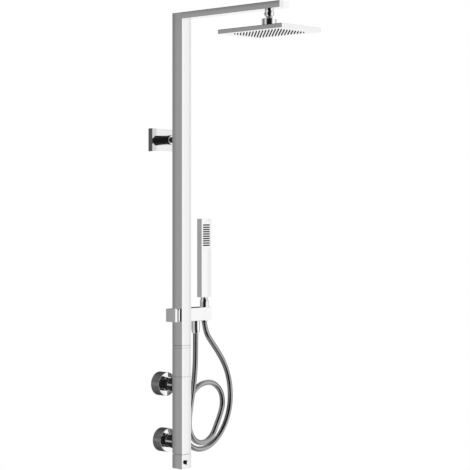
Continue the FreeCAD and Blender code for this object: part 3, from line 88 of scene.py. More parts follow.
# --------------------------------------------------------------------------
# Shared surface effects
# --------------------------------------------------------------------------
class NodeEffects:
    """Shader node groups that several finishes place with their own values."""

    HAZE_DETAIL = 4.0
    LINE_WOBBLE = 0.6
    LINE_DARKEST = 0.88
    GRAIN_DETAIL = 3.0
    GRAIN_DARKEST = 0.85

    def __init__(self) -> None:
        """Builds every shared group once."""
        self.polish = self._polish_group()
        self.turning = self._turning_group()
        self.grain = self._grain_group()
        self.crown = self._crown_group()

    @staticmethod
    def _socket(
        tree: bpy.types.NodeTree, name: str, kind: str, way: str, value: Optional[float] = None
    ) -> None:
        """Adds one socket to a group's interface.

        Args:
            tree: The group.
            name: The socket's name.
            kind: Blender's socket type.
            way: INPUT or OUTPUT.
            value: The default of a float input.
        """
        made = tree.interface.new_socket(name=name, in_out=way, socket_type=kind)
        if value is not None:
            made.default_value = value

    def _polish_group(self) -> bpy.types.NodeTree:
        """Polishing haze, as a change of roughness and a faint change of shade.

        Returns:
            A group with Roughness and Shade outputs.
        """
        tree = bpy.data.node_groups.new("PolishHaze", "ShaderNodeTree")
        for name, value in (
            ("Roughness Low", 0.03), ("Roughness High", 0.08), ("Scale", 18.0), ("Shade Depth", 0.03),
        ):
            self._socket(tree, name, "NodeSocketFloat", "INPUT", value)
        for name in ("Roughness", "Shade"):
            self._socket(tree, name, "NodeSocketFloat", "OUTPUT")
        nodes, links = tree.nodes, tree.links
        ins, outs = nodes.new("NodeGroupInput"), nodes.new("NodeGroupOutput")
        coords = nodes.new("ShaderNodeTexCoord")
        haze = nodes.new("ShaderNodeTexNoise")
        haze.inputs["Detail"].default_value = self.HAZE_DETAIL
        links.new(coords.outputs["Object"], haze.inputs["Vector"])
        links.new(ins.outputs["Scale"], haze.inputs["Scale"])
        rough = nodes.new("ShaderNodeMapRange")
        links.new(haze.outputs["Fac"], rough.inputs["Value"])
        links.new(ins.outputs["Roughness Low"], rough.inputs["To Min"])
        links.new(ins.outputs["Roughness High"], rough.inputs["To Max"])
        links.new(rough.outputs["Result"], outs.inputs["Roughness"])
        fall = nodes.new("ShaderNodeMath")
        fall.operation = "MULTIPLY"
        links.new(haze.outputs["Fac"], fall.inputs[0])
        links.new(ins.outputs["Shade Depth"], fall.inputs[1])
        keep = nodes.new("ShaderNodeMath")
        keep.operation = "SUBTRACT"
        keep.inputs[0].default_value = 1.0
        links.new(fall.outputs[0], keep.inputs[1])
        links.new(keep.outputs[0], outs.inputs["Shade"])
        return tree

    def _turning_group(self) -> bpy.types.NodeTree:
        """Fine lines left by a lathe tool, as rings stacked along the upright.

        Returns:
            A group with a Height and a Tone output.
        """
        tree = bpy.data.node_groups.new("TurningLines", "ShaderNodeTree")
        self._socket(tree, "Lines", "NodeSocketFloat", "INPUT", 900.0)
        for name in ("Height", "Tone"):
            self._socket(tree, name, "NodeSocketFloat", "OUTPUT")
        nodes, links = tree.nodes, tree.links
        ins, outs = nodes.new("NodeGroupInput"), nodes.new("NodeGroupOutput")
        coords = nodes.new("ShaderNodeTexCoord")
        wave = nodes.new("ShaderNodeTexWave")
        wave.wave_type, wave.bands_direction = "BANDS", "Z"
        wave.inputs["Distortion"].default_value = self.LINE_WOBBLE
        links.new(coords.outputs["Object"], wave.inputs["Vector"])
        links.new(ins.outputs["Lines"], wave.inputs["Scale"])
        links.new(wave.outputs["Fac"], outs.inputs["Height"])
        tone = nodes.new("ShaderNodeMapRange")
        tone.inputs["To Min"].default_value = self.LINE_DARKEST
        links.new(wave.outputs["Fac"], tone.inputs["Value"])
        links.new(tone.outputs["Result"], outs.inputs["Tone"])
        return tree

    def _crown_group(self) -> bpy.types.NodeTree:
        """Slight swell of a drawn tube's flat faces about the tube's own axis.

        Returns:
            A group with a Height output in metres.
        """
        tree = bpy.data.node_groups.new("DrawnCrown", "ShaderNodeTree")
        self._socket(tree, "Axis Point", "NodeSocketVector", "INPUT")
        self._socket(tree, "Across", "NodeSocketVector", "INPUT")
        self._socket(tree, "Fall", "NodeSocketFloat", "INPUT", 0.5)
        self._socket(tree, "Height", "NodeSocketFloat", "OUTPUT")
        nodes, links = tree.nodes, tree.links
        ins, outs = nodes.new("NodeGroupInput"), nodes.new("NodeGroupOutput")
        coords = nodes.new("ShaderNodeTexCoord")
        offset, across, square = (nodes.new("ShaderNodeVectorMath") for _ in range(3))
        offset.operation, across.operation, square.operation = "SUBTRACT", "MULTIPLY", "DOT_PRODUCT"
        links.new(coords.outputs["Object"], offset.inputs[0])
        links.new(ins.outputs["Axis Point"], offset.inputs[1])
        links.new(offset.outputs["Vector"], across.inputs[0])
        links.new(ins.outputs["Across"], across.inputs[1])
        links.new(across.outputs["Vector"], square.inputs[0])
        links.new(across.outputs["Vector"], square.inputs[1])
        fall = nodes.new("ShaderNodeMath")
        fall.operation = "MULTIPLY"
        links.new(square.outputs["Value"], fall.inputs[0])
        links.new(ins.outputs["Fall"], fall.inputs[1])
        height = nodes.new("ShaderNodeMath")
        height.operation = "SUBTRACT"
        height.inputs[0].default_value = 0.0
        links.new(fall.outputs[0], height.inputs[1])
        links.new(height.outputs[0], outs.inputs["Height"])
        return tree

    def _grain_group(self) -> bpy.types.NodeTree:
        """Moulded grain with small speckles.

        Returns:
            A group with Tone, Roughness and Height outputs.
        """
        tree = bpy.data.node_groups.new("MouldGrain", "ShaderNodeTree")
        for name, value in (("Scale", 900.0), ("Roughness Low", 0.4), ("Roughness High", 0.6)):
            self._socket(tree, name, "NodeSocketFloat", "INPUT", value)
        for name in ("Tone", "Roughness", "Height"):
            self._socket(tree, name, "NodeSocketFloat", "OUTPUT")
        nodes, links = tree.nodes, tree.links
        ins, outs = nodes.new("NodeGroupInput"), nodes.new("NodeGroupOutput")
        coords = nodes.new("ShaderNodeTexCoord")
        noise = nodes.new("ShaderNodeTexNoise")
        noise.inputs["Detail"].default_value = self.GRAIN_DETAIL
        links.new(coords.outputs["Object"], noise.inputs["Vector"])
        links.new(ins.outputs["Scale"], noise.inputs["Scale"])
        tone = nodes.new("ShaderNodeMapRange")
        tone.inputs["To Min"].default_value = self.GRAIN_DARKEST
        links.new(noise.outputs["Fac"], tone.inputs["Value"])
        links.new(tone.outputs["Result"], outs.inputs["Tone"])
        rough = nodes.new("ShaderNodeMapRange")
        links.new(noise.outputs["Fac"], rough.inputs["Value"])
        links.new(ins.outputs["Roughness Low"], rough.inputs["To Min"])
        links.new(ins.outputs["Roughness High"], rough.inputs["To Max"])
        links.new(rough.outputs["Result"], outs.inputs["Roughness"])
        links.new(noise.outputs["Fac"], outs.inputs["Height"])
        return tree


def tinted(
    nodes: bpy.types.Nodes, links: bpy.types.NodeLinks, colour: Sequence[float], tone: bpy.types.NodeSocket
) -> bpy.types.NodeSocket:
    """A colour multiplied by a tone that changes over the surface.

    Args:
        nodes: The material's nodes.
        links: The material's links.
        colour: Red, green and blue.
        tone: The multiplying value.

    Returns:
        The colour output.
    """
    mix = nodes.new("ShaderNodeMix")
    mix.data_type, mix.blend_type = "RGBA", "MULTIPLY"
    mix.inputs["Factor"].default_value = 1.0
    own, other = MIX_COLOURS
    mix.inputs[own].default_value = (*colour, 1.0)
    links.new(tone, mix.inputs[other])
    return mix.outputs[MIX_COLOUR]


def bumped(
    nodes: bpy.types.Nodes, links: bpy.types.NodeLinks, height: bpy.types.NodeSocket,
    shader: bpy.types.Node, strength: float, distance: float
) -> None:
    """Bends a shader's normal by a height.

    Args:
        nodes: The material's nodes.
        links: The material's links.
        height: The height.
        shader: The shader.
        strength: Share of the effect.
        distance: Metres for a height of 1.
    """
    bump = nodes.new("ShaderNodeBump")
    bump.inputs["Strength"].default_value = strength
    bump.inputs["Distance"].default_value = distance
    links.new(height, bump.inputs["Height"])
    links.new(bump.outputs["Normal"], shader.inputs["Normal"])


# --------------------------------------------------------------------------
# Finishes
# --------------------------------------------------------------------------
@dataclass(frozen=True)
class PlatedFinish:
    """Bright plating over polished metal, with the swell of a drawn tube's faces.

    Attributes:
        name: The material's name.
        colour: Red, green and blue.
        low: Roughness where the polish is best.
        high: Roughness where it is worst.
        axis_point: A point of the tube's axis, in metres.
        across: 1 for each direction across the tube, 0 along it.
        fall: How fast a face falls away from its middle, or 0 for a plain piece.
    """

    name: str
    colour: Tuple[float, float, float] = (0.905, 0.905, 0.91)
    low: float = 0.02
    high: float = 0.05
    axis_point: Point = (0.0, 0.0, 0.0)
    across: Point = (0.0, 0.0, 0.0)
    fall: float = 0.0

    def make(self, effects: NodeEffects) -> bpy.types.Material:
        """Builds the material.

        Args:
            effects: The shared node groups.

        Returns:
            The finished material.
        """
        material, nodes, links, shader = blank_material(self.name)
        haze = nodes.new("ShaderNodeGroup")
        haze.node_tree = effects.polish
        haze.inputs["Roughness Low"].default_value = self.low
        haze.inputs["Roughness High"].default_value = self.high
        links.new(tinted(nodes, links, self.colour, haze.outputs["Shade"]), shader.inputs["Base Color"])
        links.new(haze.outputs["Roughness"], shader.inputs["Roughness"])
        shader.inputs["Metallic"].default_value = 1.0
        if self.fall:
            crown = nodes.new("ShaderNodeGroup")
            crown.node_tree = effects.crown
            crown.inputs["Axis Point"].default_value = self.axis_point
            crown.inputs["Across"].default_value = self.across
            crown.inputs["Fall"].default_value = self.fall
            bumped(nodes, links, crown.outputs["Height"], shader, strength=1.0, distance=1.0)
        return material


@dataclass(frozen=True)
class TurnedFinish:
    """Bare metal with lathe lines.

    Attributes:
        name: The material's name.
        colour: Red, green and blue.
        roughness: Its roughness.
        lines: How close the lines lie.
    """

    name: str
    colour: Tuple[float, float, float]
    roughness: float = 0.28
    lines: float = 900.0

    def make(self, effects: NodeEffects) -> bpy.types.Material:
        """Builds the material.

        Args:
            effects: The shared node groups.

        Returns:
            The finished material.
        """
        material, nodes, links, shader = blank_material(self.name)
        turning = nodes.new("ShaderNodeGroup")
        turning.node_tree = effects.turning
        turning.inputs["Lines"].default_value = self.lines
        links.new(tinted(nodes, links, self.colour, turning.outputs["Tone"]), shader.inputs["Base Color"])
        shader.inputs["Metallic"].default_value = 1.0
        shader.inputs["Roughness"].default_value = self.roughness
        bumped(nodes, links, turning.outputs["Height"], shader, strength=0.15, distance=0.2 * MM)
        return material


@dataclass(frozen=True)
class MouldedFinish:
    """Rubber, plastic or ceramic with a fine grain.

    Attributes:
        name: The material's name.
        colour: Red, green and blue.
        low: The lowest roughness.
        high: The highest roughness.
        scale: How fine the grain is.
    """

    name: str
    colour: Tuple[float, float, float]
    low: float = 0.4
    high: float = 0.6
    scale: float = 900.0

    def make(self, effects: NodeEffects) -> bpy.types.Material:
        """Builds the material.

        Args:
            effects: The shared node groups.

        Returns:
            The finished material.
        """
        material, nodes, links, shader = blank_material(self.name)
        grain = nodes.new("ShaderNodeGroup")
        grain.node_tree = effects.grain
        grain.inputs["Scale"].default_value = self.scale
        grain.inputs["Roughness Low"].default_value = self.low
        grain.inputs["Roughness High"].default_value = self.high
        links.new(tinted(nodes, links, self.colour, grain.outputs["Tone"]), shader.inputs["Base Color"])
        links.new(grain.outputs["Roughness"], shader.inputs["Roughness"])
        bumped(nodes, links, grain.outputs["Height"], shader, strength=0.1, distance=0.1 * MM)
        return material


def blank_material(
    name: str,
) -> Tuple[bpy.types.Material, bpy.types.Nodes, bpy.types.NodeLinks, bpy.types.Node]:
    """A new node material with its shader wired to the output.

    Args:
        name: The material's name.

    Returns:
        The material, its nodes, its links and its shader.
    """
    material = bpy.data.materials.new(name)
    material.use_nodes = True
    nodes, links = material.node_tree.nodes, material.node_tree.links
    nodes.clear()
    output = nodes.new("ShaderNodeOutputMaterial")
    shader = nodes.new("ShaderNodeBsdfPrincipled")
    links.new(shader.outputs["BSDF"], output.inputs["Surface"])
    return material, nodes, links, shader


class Finish(enum.Enum):
    """Finishes that single pieces have beside their slot's own, among them painted shade on some sides and
    in a seam.
    """

    COLUMN = "column_chrome"
    ARM = "arm_chrome"
    HANDSET = "handset_chrome_drawn"
    # the wall flanges' sides: painted shade, with a rougher satin finish
    RIM = "satin_rim_painted_shade"
    PLATE = "plate_chrome"
    # the wall plate's sides: painted shade
    PLATE_RIM = "shaded_rim"
    # the riser coupling: painted shadow in the column's seam
    GAP = "shaded_gap"


class Finishes:
    """Every finish of the column, made once."""

    BRIGHT = (0.965, 0.965, 0.97)
    FACE_TURN = 0.8  # a face looks away from the wall where its normal's part along y is more

    def __init__(self, effects: NodeEffects) -> None:
        """Makes the finishes.

        Args:
            effects: The shared node groups.
        """
        recipes = {
            Slot.CHROME: PlatedFinish("bright_chrome", colour=self.BRIGHT),
            Slot.HOSE: PlatedFinish("hose_plating", colour=(0.42, 0.42, 0.43), low=0.08, high=0.13),
            Slot.SPRAY: PlatedFinish("spray_plate_chrome", low=0.04, high=0.08),
            Slot.HANDSET: PlatedFinish("handset_chrome", colour=self.BRIGHT, low=0.04, high=0.08),
            Slot.BRASS: TurnedFinish("machined_brass", (0.72, 0.55, 0.28)),
            Slot.STEEL: TurnedFinish("plain_steel", (0.55, 0.55, 0.57), 0.35),
            Slot.RUBBER: MouldedFinish("dark_silicone", (0.03, 0.03, 0.033)),
            Slot.PLASTIC: MouldedFinish("pale_plastic", (0.62, 0.63, 0.64), 0.25, 0.4),
            Slot.CERAMIC: MouldedFinish("lapped_ceramic", (0.85, 0.84, 0.8), 0.12, 0.2),
            Slot.BUTTON: PlatedFinish("button_chrome"),
            Finish.COLUMN: PlatedFinish(
                "column_chrome", axis_point=middle("riser_tube"), across=(1.0, 1.0, 0.0), fall=0.6
            ),
            Finish.ARM: PlatedFinish(
                "arm_chrome", axis_point=middle("arm_tube"), across=(1.0, 0.0, 1.0), fall=0.9
            ),
            Finish.HANDSET: PlatedFinish(
                "handset_chrome_drawn", colour=self.BRIGHT, low=0.03, high=0.07,
                axis_point=middle("handset_shell"), across=(1.0, 1.0, 0.0), fall=0.4
            ),
            # painted shade: the wall flanges' sides are a darker copy of the chrome, and rougher
            Finish.RIM: PlatedFinish("satin_rim_painted_shade", colour=(0.6, 0.6, 0.62), low=0.26, high=0.34),
            Finish.PLATE: PlatedFinish("plate_chrome", colour=(0.86, 0.86, 0.865), low=0.04, high=0.1),
            # painted shade: the wall plate's sides are a dark copy of its chrome
            Finish.PLATE_RIM: PlatedFinish("shaded_rim", colour=(0.3, 0.3, 0.31), low=0.06, high=0.1),
            # painted shadow: the coupling is near black to stand for the shadow in the column's seam
            Finish.GAP: TurnedFinish("shaded_gap", (0.06, 0.06, 0.06), 0.5),
        }
        self.made = {key: recipe.make(effects) for key, recipe in recipes.items()}

    def dress(self, piece: bpy.types.Object, slot: Slot, finish: Optional[Finish] = None) -> None:
        """Puts a finish on a piece.

        Args:
            piece: The object.
            slot: The record's slot that the piece belongs to.
            finish: A finish of its own, or None for the slot's.
        """
        piece.data.materials.clear()
        piece.data.materials.append(self.made[finish or slot])

    def paint_side_shade(self, piece: bpy.types.Object, finish: Finish) -> None:
        """Paints shade on a piece's sides, as a darker finish than the face that looks away from the wall.

        Args:
            piece: The object.
            finish: The darker finish of the sides, which is painted shade.
        """
        piece.data.materials.append(self.made[finish])
        for polygon in piece.data.polygons:
            polygon.material_index = 0 if abs(polygon.normal.y) > self.FACE_TURN else 1


def middle(node: str) -> Point:
    """The middle of a node's box.

    Args:
        node: The node.

    Returns:
        Its middle, in metres.
    """
    low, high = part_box(node)
    return tuple((a + b) / 2 for a, b in zip(low, high))


# --------------------------------------------------------------------------
# Mesh helpers
# --------------------------------------------------------------------------
def add_object(
    name: str, vertices: Sequence[Sequence[float]], faces: Sequence[Sequence[int]]
) -> bpy.types.Object:
    """A mesh object from points and faces, with its faces turned outwards.

    Args:
        name: The object's name.
        vertices: Points in metres.
        faces: Point indices of each face.

    Returns:
        The linked object.
    """
    mesh = bpy.data.meshes.new(name)
    mesh.from_pydata([tuple(v) for v in vertices], [], [tuple(f) for f in faces])
    work = bmesh.new()
    work.from_mesh(mesh)
    bmesh.ops.recalc_face_normals(work, faces=work.faces)
    work.to_mesh(mesh)
    work.free()
    mesh.update()
    piece = bpy.data.objects.new(name, mesh)
    bpy.context.scene.collection.objects.link(piece)
    return piece


def smooth(piece: bpy.types.Object, angle: float) -> bpy.types.Object:
    """Shades a mesh smooth and keeps edges sharper than an angle.

    Args:
        piece: The object.
        angle: The angle in degrees.

    Returns:
        The same object.
    """
    mesh = piece.data
    mesh.polygons.foreach_set("use_smooth", [True] * len(mesh.polygons))
    mesh.set_sharp_from_angle(angle=math.radians(angle))
    return piece


# --------------------------------------------------------------------------
# Camera, lights and floor
# --------------------------------------------------------------------------
class Screens:
    """Brightness of the surrounding studio as a formula of direction."""

    # heading in degrees, 0 along +x and 90 along +y, and brightness of the ring there
    RING = (
        (-180.0, 0.35), (-175.0, 0.2), (-171.0, 0.012), (-98.0, 0.012), (-84.0, 0.7),
        (-68.0, 1.0), (-30.0, 0.72), (0.0, 0.45), (18.0, 0.2), (30.0, 0.012), (68.0, 0.012),
        (78.0, 0.5), (102.0, 0.5), (112.0, 0.06), (122.0, 0.12), (148.0, 0.38),
        (158.0, 0.65), (168.0, 0.65), (180.0, 0.35),
    )
    FULL_TURN = 360.0
    RING_TOP = 2.0  # the brightness that the curve's own 1 stands for

    def __init__(self, tree: bpy.types.NodeTree) -> None:
        """Starts an empty sky.

        Args:
            tree: The world's node tree.
        """
        self.nodes, self.links = tree.nodes, tree.links
        self.nodes.clear()

    def directions(self) -> List[bpy.types.NodeSocket]:
        """Splits the direction that is looked in.

        Returns:
            Its parts along x, y and z.
        """
        coords = self.nodes.new("ShaderNodeTexCoord")
        split = self.nodes.new("ShaderNodeSeparateXYZ")
        self.links.new(coords.outputs["Generated"], split.inputs["Vector"])
        return list(split.outputs)

    def math(self, operation: str, *values: Number) -> bpy.types.NodeSocket:
        """One calculation.

        Args:
            operation: Blender's name for it.
            values: Sockets or numbers.

        Returns:
            The result.
        """
        node = self.nodes.new("ShaderNodeMath")
        node.operation = operation
        for socket, value in zip(node.inputs, values):
            if isinstance(value, bpy.types.NodeSocket):
                self.links.new(value, socket)
            else:
                socket.default_value = value
        return node.outputs[0]

    def fade(self, value: bpy.types.NodeSocket, start: float, end: float) -> bpy.types.NodeSocket:
        """A mask that goes softly from 0 at start to 1 at end.

        Args:
            value: What it depends on.
            start: Where it is 0.
            end: Where it is 1.

        Returns:
            The mask.
        """
        node = self.nodes.new("ShaderNodeMapRange")
        node.interpolation_type = "SMOOTHSTEP"
        lower, upper = (start, end) if start < end else (end, start)
        node.inputs["From Min"].default_value, node.inputs["From Max"].default_value = lower, upper
        node.inputs["To Min"].default_value = 0.0 if start < end else 1.0
        node.inputs["To Max"].default_value = 1.0 if start < end else 0.0
        self.links.new(value, node.inputs["Value"])
        return node.outputs["Result"]

    def slope(
        self, value: bpy.types.NodeSocket, start: float, first: float, end: float, last: float
    ) -> bpy.types.NodeSocket:
        """A brightness that changes evenly between two places.

        Args:
            value: What it depends on.
            start: Where it is first.
            first: The first brightness.
            end: Where it is last.
            last: The last brightness.

        Returns:
            The brightness.
        """
        node = self.nodes.new("ShaderNodeMapRange")
        for name, number in (("From Min", start), ("From Max", end), ("To Min", first), ("To Max", last)):
            node.inputs[name].default_value = number
        self.links.new(value, node.inputs["Value"])
        return node.outputs["Result"]

    def both(self, one: bpy.types.NodeSocket, other: bpy.types.NodeSocket) -> bpy.types.NodeSocket:
        """Where two masks overlap.

        Args:
            one: The first mask.
            other: The second mask.

        Returns:
            Their product.
        """
        return self.math("MULTIPLY", one, other)

    def band(
        self, value: bpy.types.NodeSocket, low: float, full: float, still: float, high: float
    ) -> bpy.types.NodeSocket:
        """A mask that is 1 between full and still and 0 outside low and high.

        Args:
            value: What it depends on.
            low: Where it starts to rise.
            full: Where it is 1.
            still: Where it starts to fall.
            high: Where it is 0 again.

        Returns:
            The mask.
        """
        return self.both(self.fade(value, low, full), self.fade(value, high, still))

    def blend(
        self, shade: bpy.types.NodeSocket, level: Number, mask: bpy.types.NodeSocket
    ) -> bpy.types.NodeSocket:
        """Changes the brightness to a level, a number or a socket, where a mask is 1.

        Args:
            shade: The brightness so far.
            level: The brightness wanted.
            mask: Where.

        Returns:
            The new brightness.
        """
        node = self.nodes.new("ShaderNodeMix")
        before, after = MIX_NUMBERS
        self.links.new(mask, node.inputs[MIX_FACTOR])
        self.links.new(shade, node.inputs[before])
        if isinstance(level, bpy.types.NodeSocket):
            self.links.new(level, node.inputs[after])
        else:
            node.inputs[after].default_value = level
        return node.outputs[0]

    def ring(self, heading: bpy.types.NodeSocket) -> bpy.types.NodeSocket:
        """The screens round the horizon.

        Args:
            heading: Heading in degrees, from -180 to 180.

        Returns:
            Their brightness.
        """
        curve = self.nodes.new("ShaderNodeFloatCurve")
        line = curve.mapping.curves[0]
        points = [
            ((degrees + self.FULL_TURN / 2) / self.FULL_TURN, level / self.RING_TOP)
            for degrees, level in self.RING
        ]
        while len(line.points) < len(points):
            line.points.new(0.5, 0.5)
        for point, place in zip(line.points, points):
            point.location, point.handle_type = place, "VECTOR"
        curve.mapping.update()
        turn = self.math("ADD", self.math("DIVIDE", heading, self.FULL_TURN), 0.5)
        self.links.new(turn, curve.inputs["Value"])
        return self.math("MULTIPLY", curve.outputs["Value"], self.RING_TOP)

    def finish(self, shade: bpy.types.NodeSocket) -> None:
        """Ends the sky, with a white background for the picture itself.

        Args:
            shade: The brightness seen by surfaces.
        """
        studio = self.nodes.new("ShaderNodeBackground")
        self.links.new(shade, studio.inputs["Color"])
        plain = self.nodes.new("ShaderNodeBackground")
        plain.inputs["Color"].default_value = (1.0, 1.0, 1.0, 1.0)
        path = self.nodes.new("ShaderNodeLightPath")
        pick = self.nodes.new("ShaderNodeMixShader")
        output = self.nodes.new("ShaderNodeOutputWorld")
        self.links.new(path.outputs["Is Camera Ray"], pick.inputs["Fac"])
        self.links.new(studio.outputs["Background"], pick.inputs[1])
        self.links.new(plain.outputs["Background"], pick.inputs[2])
        self.links.new(pick.outputs["Shader"], output.inputs["Surface"])


@dataclass
class Studio:
    """Camera, surrounding light and floor.

    Attributes:
        eye: The camera's place, in metres.
        heading: Where it looks, in degrees to the right of straight at the wall.
        lens: Its focal length in millimetres.
        shift: Its upward shift, as a share of the sensor.
        floor_drop: How far the floor lies below the frame's origin, in metres.
        floor_radius: The floor's radius in metres.
    """

    eye: Point = (-2.8815, -2.9710, -0.1890)
    heading: float = 46.89
    lens: float = 118.33
    shift: float = -0.0509
    floor_drop: float = 1.87
    floor_radius: float = 1.0

    SENSOR = 36.0
    NEAR, FAR = 0.1, 60.0

    # brightness of the studio's parts
    BLACK = 0.012
    WALL_SIDE = 0.02
    OVERHEAD = 0.2
    WEST_TOP = 0.2
    SOUTH_SEAM = 0.86
    SOUTH_END = 1.05
    BEYOND = 0.85
    FLOOR_GLOW = 0.95

    # where each part begins and ends: headings in degrees, or rises from 0 at the horizon to 1 overhead
    WEST_SLOPE = (132.0, 0.205, 134.7, 0.355)  # heading and brightness, twice
    WEST_TOP_FADE = (0.1, 0.19)
    WEST_BAND = (118, 126, 142, 150)
    SOUTH_SLOPE = (-47.6, 1.05, -45.6, 0.985)  # heading and brightness, twice
    SOUTH_SEAM_BAND = (-44.0, -43.2, -42.7, -42.2)
    SOUTH_END_FADE = (-42.5, -41.9)
    SOUTH_BAND = (-75, -58, -38, -30)
    BEYOND_FADE = (0.22, 0.32)
    TALL_BAND = (-176, -168, -106, -96)
    TALL_FADE = (0.95, 0.9)
    UPPER_BAND = (-108, -98, -78, -66)
    UPPER_RISE = (0.36, 0.44, 0.76, 0.84)
    OVERHEAD_FADE = (0.84, 0.95)
    FLOOR_BAND = (8, 22, 64, 78)
    FLOOR_FADE = (0.03, -0.03)
    WALL_BAND = (0.5, 0.58, 0.78, 0.86)  # parts of the direction along y
    WALL_FADES = ((0.13, 0.2), (-0.18, -0.24))

    CARD_SIZE = (0.30, 0.16)
    CARD_OFFSET = (0.32, 0.2)  # to the right of the wall plate and behind it
    CARD_TURN = 133.0
    CARD_GLOW = 0.85

    FLOOR_STEPS = 48
    FLOOR_COLOUR = (0.86, 0.86, 0.86)
    FLOOR_MOTTLE = 0.94  # the darkest share of its colour
    FLOOR_MOTTLE_SCALE = 3.0
    FLOOR_ROUGHNESS = 0.9

    def build(self) -> None:
        """Places the camera, the light and the floor."""
        self._camera()
        self._surroundings()
        self._floor()

    def _camera(self) -> None:
        """A level camera to the left front of the column."""
        data = bpy.data.cameras.new("camera")
        data.lens, data.sensor_width, data.shift_y = self.lens, self.SENSOR, self.shift
        data.clip_start, data.clip_end = self.NEAR, self.FAR
        camera = bpy.data.objects.new("camera", data)
        camera.location = self.eye
        camera.rotation_euler = (LEVEL, 0.0, math.radians(-self.heading))
        bpy.context.scene.collection.objects.link(camera)
        bpy.context.scene.camera = camera

    def _surroundings(self) -> None:
        """A studio of pale, grey and black screens round the column, as a sky."""
        scene = bpy.context.scene
        scene.view_settings.view_transform = "Standard"
        world = bpy.data.worlds.new("studio")
        scene.world = world
        world.use_nodes = True
        screens = Screens(world.node_tree)
        across, deep, up = screens.directions()
        turn = screens.math("ARCTAN2", deep, across)
        heading = screens.math("MULTIPLY", turn, 180 / math.pi)
        rise = screens.math("ABSOLUTE", up)
        shade = screens.ring(heading)
        # the grey screen and the white one, which the column's two seen faces show
        west = screens.slope(heading, *self.WEST_SLOPE)
        west = screens.blend(west, self.WEST_TOP, screens.fade(up, *self.WEST_TOP_FADE))
        shade = screens.blend(shade, west, screens.band(heading, *self.WEST_BAND))
        south = screens.slope(heading, *self.SOUTH_SLOPE)
        south = screens.blend(south, self.SOUTH_SEAM, screens.band(heading, *self.SOUTH_SEAM_BAND))
        south = screens.blend(south, self.SOUTH_END, screens.fade(heading, *self.SOUTH_END_FADE))
        shade = screens.blend(shade, south, screens.band(heading, *self.SOUTH_BAND))
        # over and under the ring the studio is light, but for the tall and the upper black screens
        shade = screens.blend(shade, self.BEYOND, screens.fade(rise, *self.BEYOND_FADE))
        tall = screens.both(screens.band(heading, *self.TALL_BAND), screens.fade(rise, *self.TALL_FADE))
        shade = screens.blend(shade, self.BLACK, tall)
        upper = screens.both(screens.band(heading, *self.UPPER_BAND), screens.band(rise, *self.UPPER_RISE))
        shade = screens.blend(shade, self.BLACK, upper)
        shade = screens.blend(shade, self.OVERHEAD, screens.fade(up, *self.OVERHEAD_FADE))
        # the light floor's reflection, seen by faces that look down
        below = screens.both(screens.band(heading, *self.FLOOR_BAND), screens.fade(up, *self.FLOOR_FADE))
        shade = screens.blend(shade, self.FLOOR_GLOW, below)
        # the dark wall side, seen by the round fittings that stand out from the wall
        wall = screens.band(deep, *self.WALL_BAND)
        for fade in self.WALL_FADES:
            shade = screens.blend(shade, self.WALL_SIDE, screens.both(wall, screens.fade(up, *fade)))
        screens.finish(shade)
        self._wall_card()

    def _wall_card(self) -> None:
        """A pale card beside the wall plate, seen only in the column's back."""
        data = bpy.data.lights.new("wall_card", "AREA")
        data.shape = "RECTANGLE"
        data.size, data.size_y = self.CARD_SIZE
        data.energy = self.CARD_GLOW * math.pi * data.size * data.size_y
        card = bpy.data.objects.new("wall_card", data)
        x, y, z = middle("wall_plate")
        right, behind = self.CARD_OFFSET
        card.location = (x + right, y + behind, z)
        card.rotation_euler = (LEVEL, 0.0, math.radians(self.CARD_TURN))
        card.visible_camera = False
        bpy.context.scene.collection.objects.link(card)

    def _floor(self) -> None:
        """A half-round pale floor below the column, in front of the wall."""
        turns = [math.pi * i / self.FLOOR_STEPS for i in range(self.FLOOR_STEPS + 1)]
        ring = [
            (self.floor_radius * math.cos(turn), -self.floor_radius * math.sin(turn), -self.floor_drop)
            for turn in turns
        ]
        floor = add_object("studio_floor", ring, [list(range(len(ring)))])
        material, nodes, links, shader = blank_material("pale_floor")
        noise = nodes.new("ShaderNodeTexNoise")
        noise.inputs["Scale"].default_value = self.FLOOR_MOTTLE_SCALE
        tone = nodes.new("ShaderNodeMapRange")
        tone.inputs["To Min"].default_value = self.FLOOR_MOTTLE
        links.new(noise.outputs["Fac"], tone.inputs["Value"])
        colour = tinted(nodes, links, self.FLOOR_COLOUR, tone.outputs["Result"])
        links.new(colour, shader.inputs["Base Color"])
        shader.inputs["Roughness"].default_value = self.FLOOR_ROUGHNESS
        floor.data.materials.append(material)


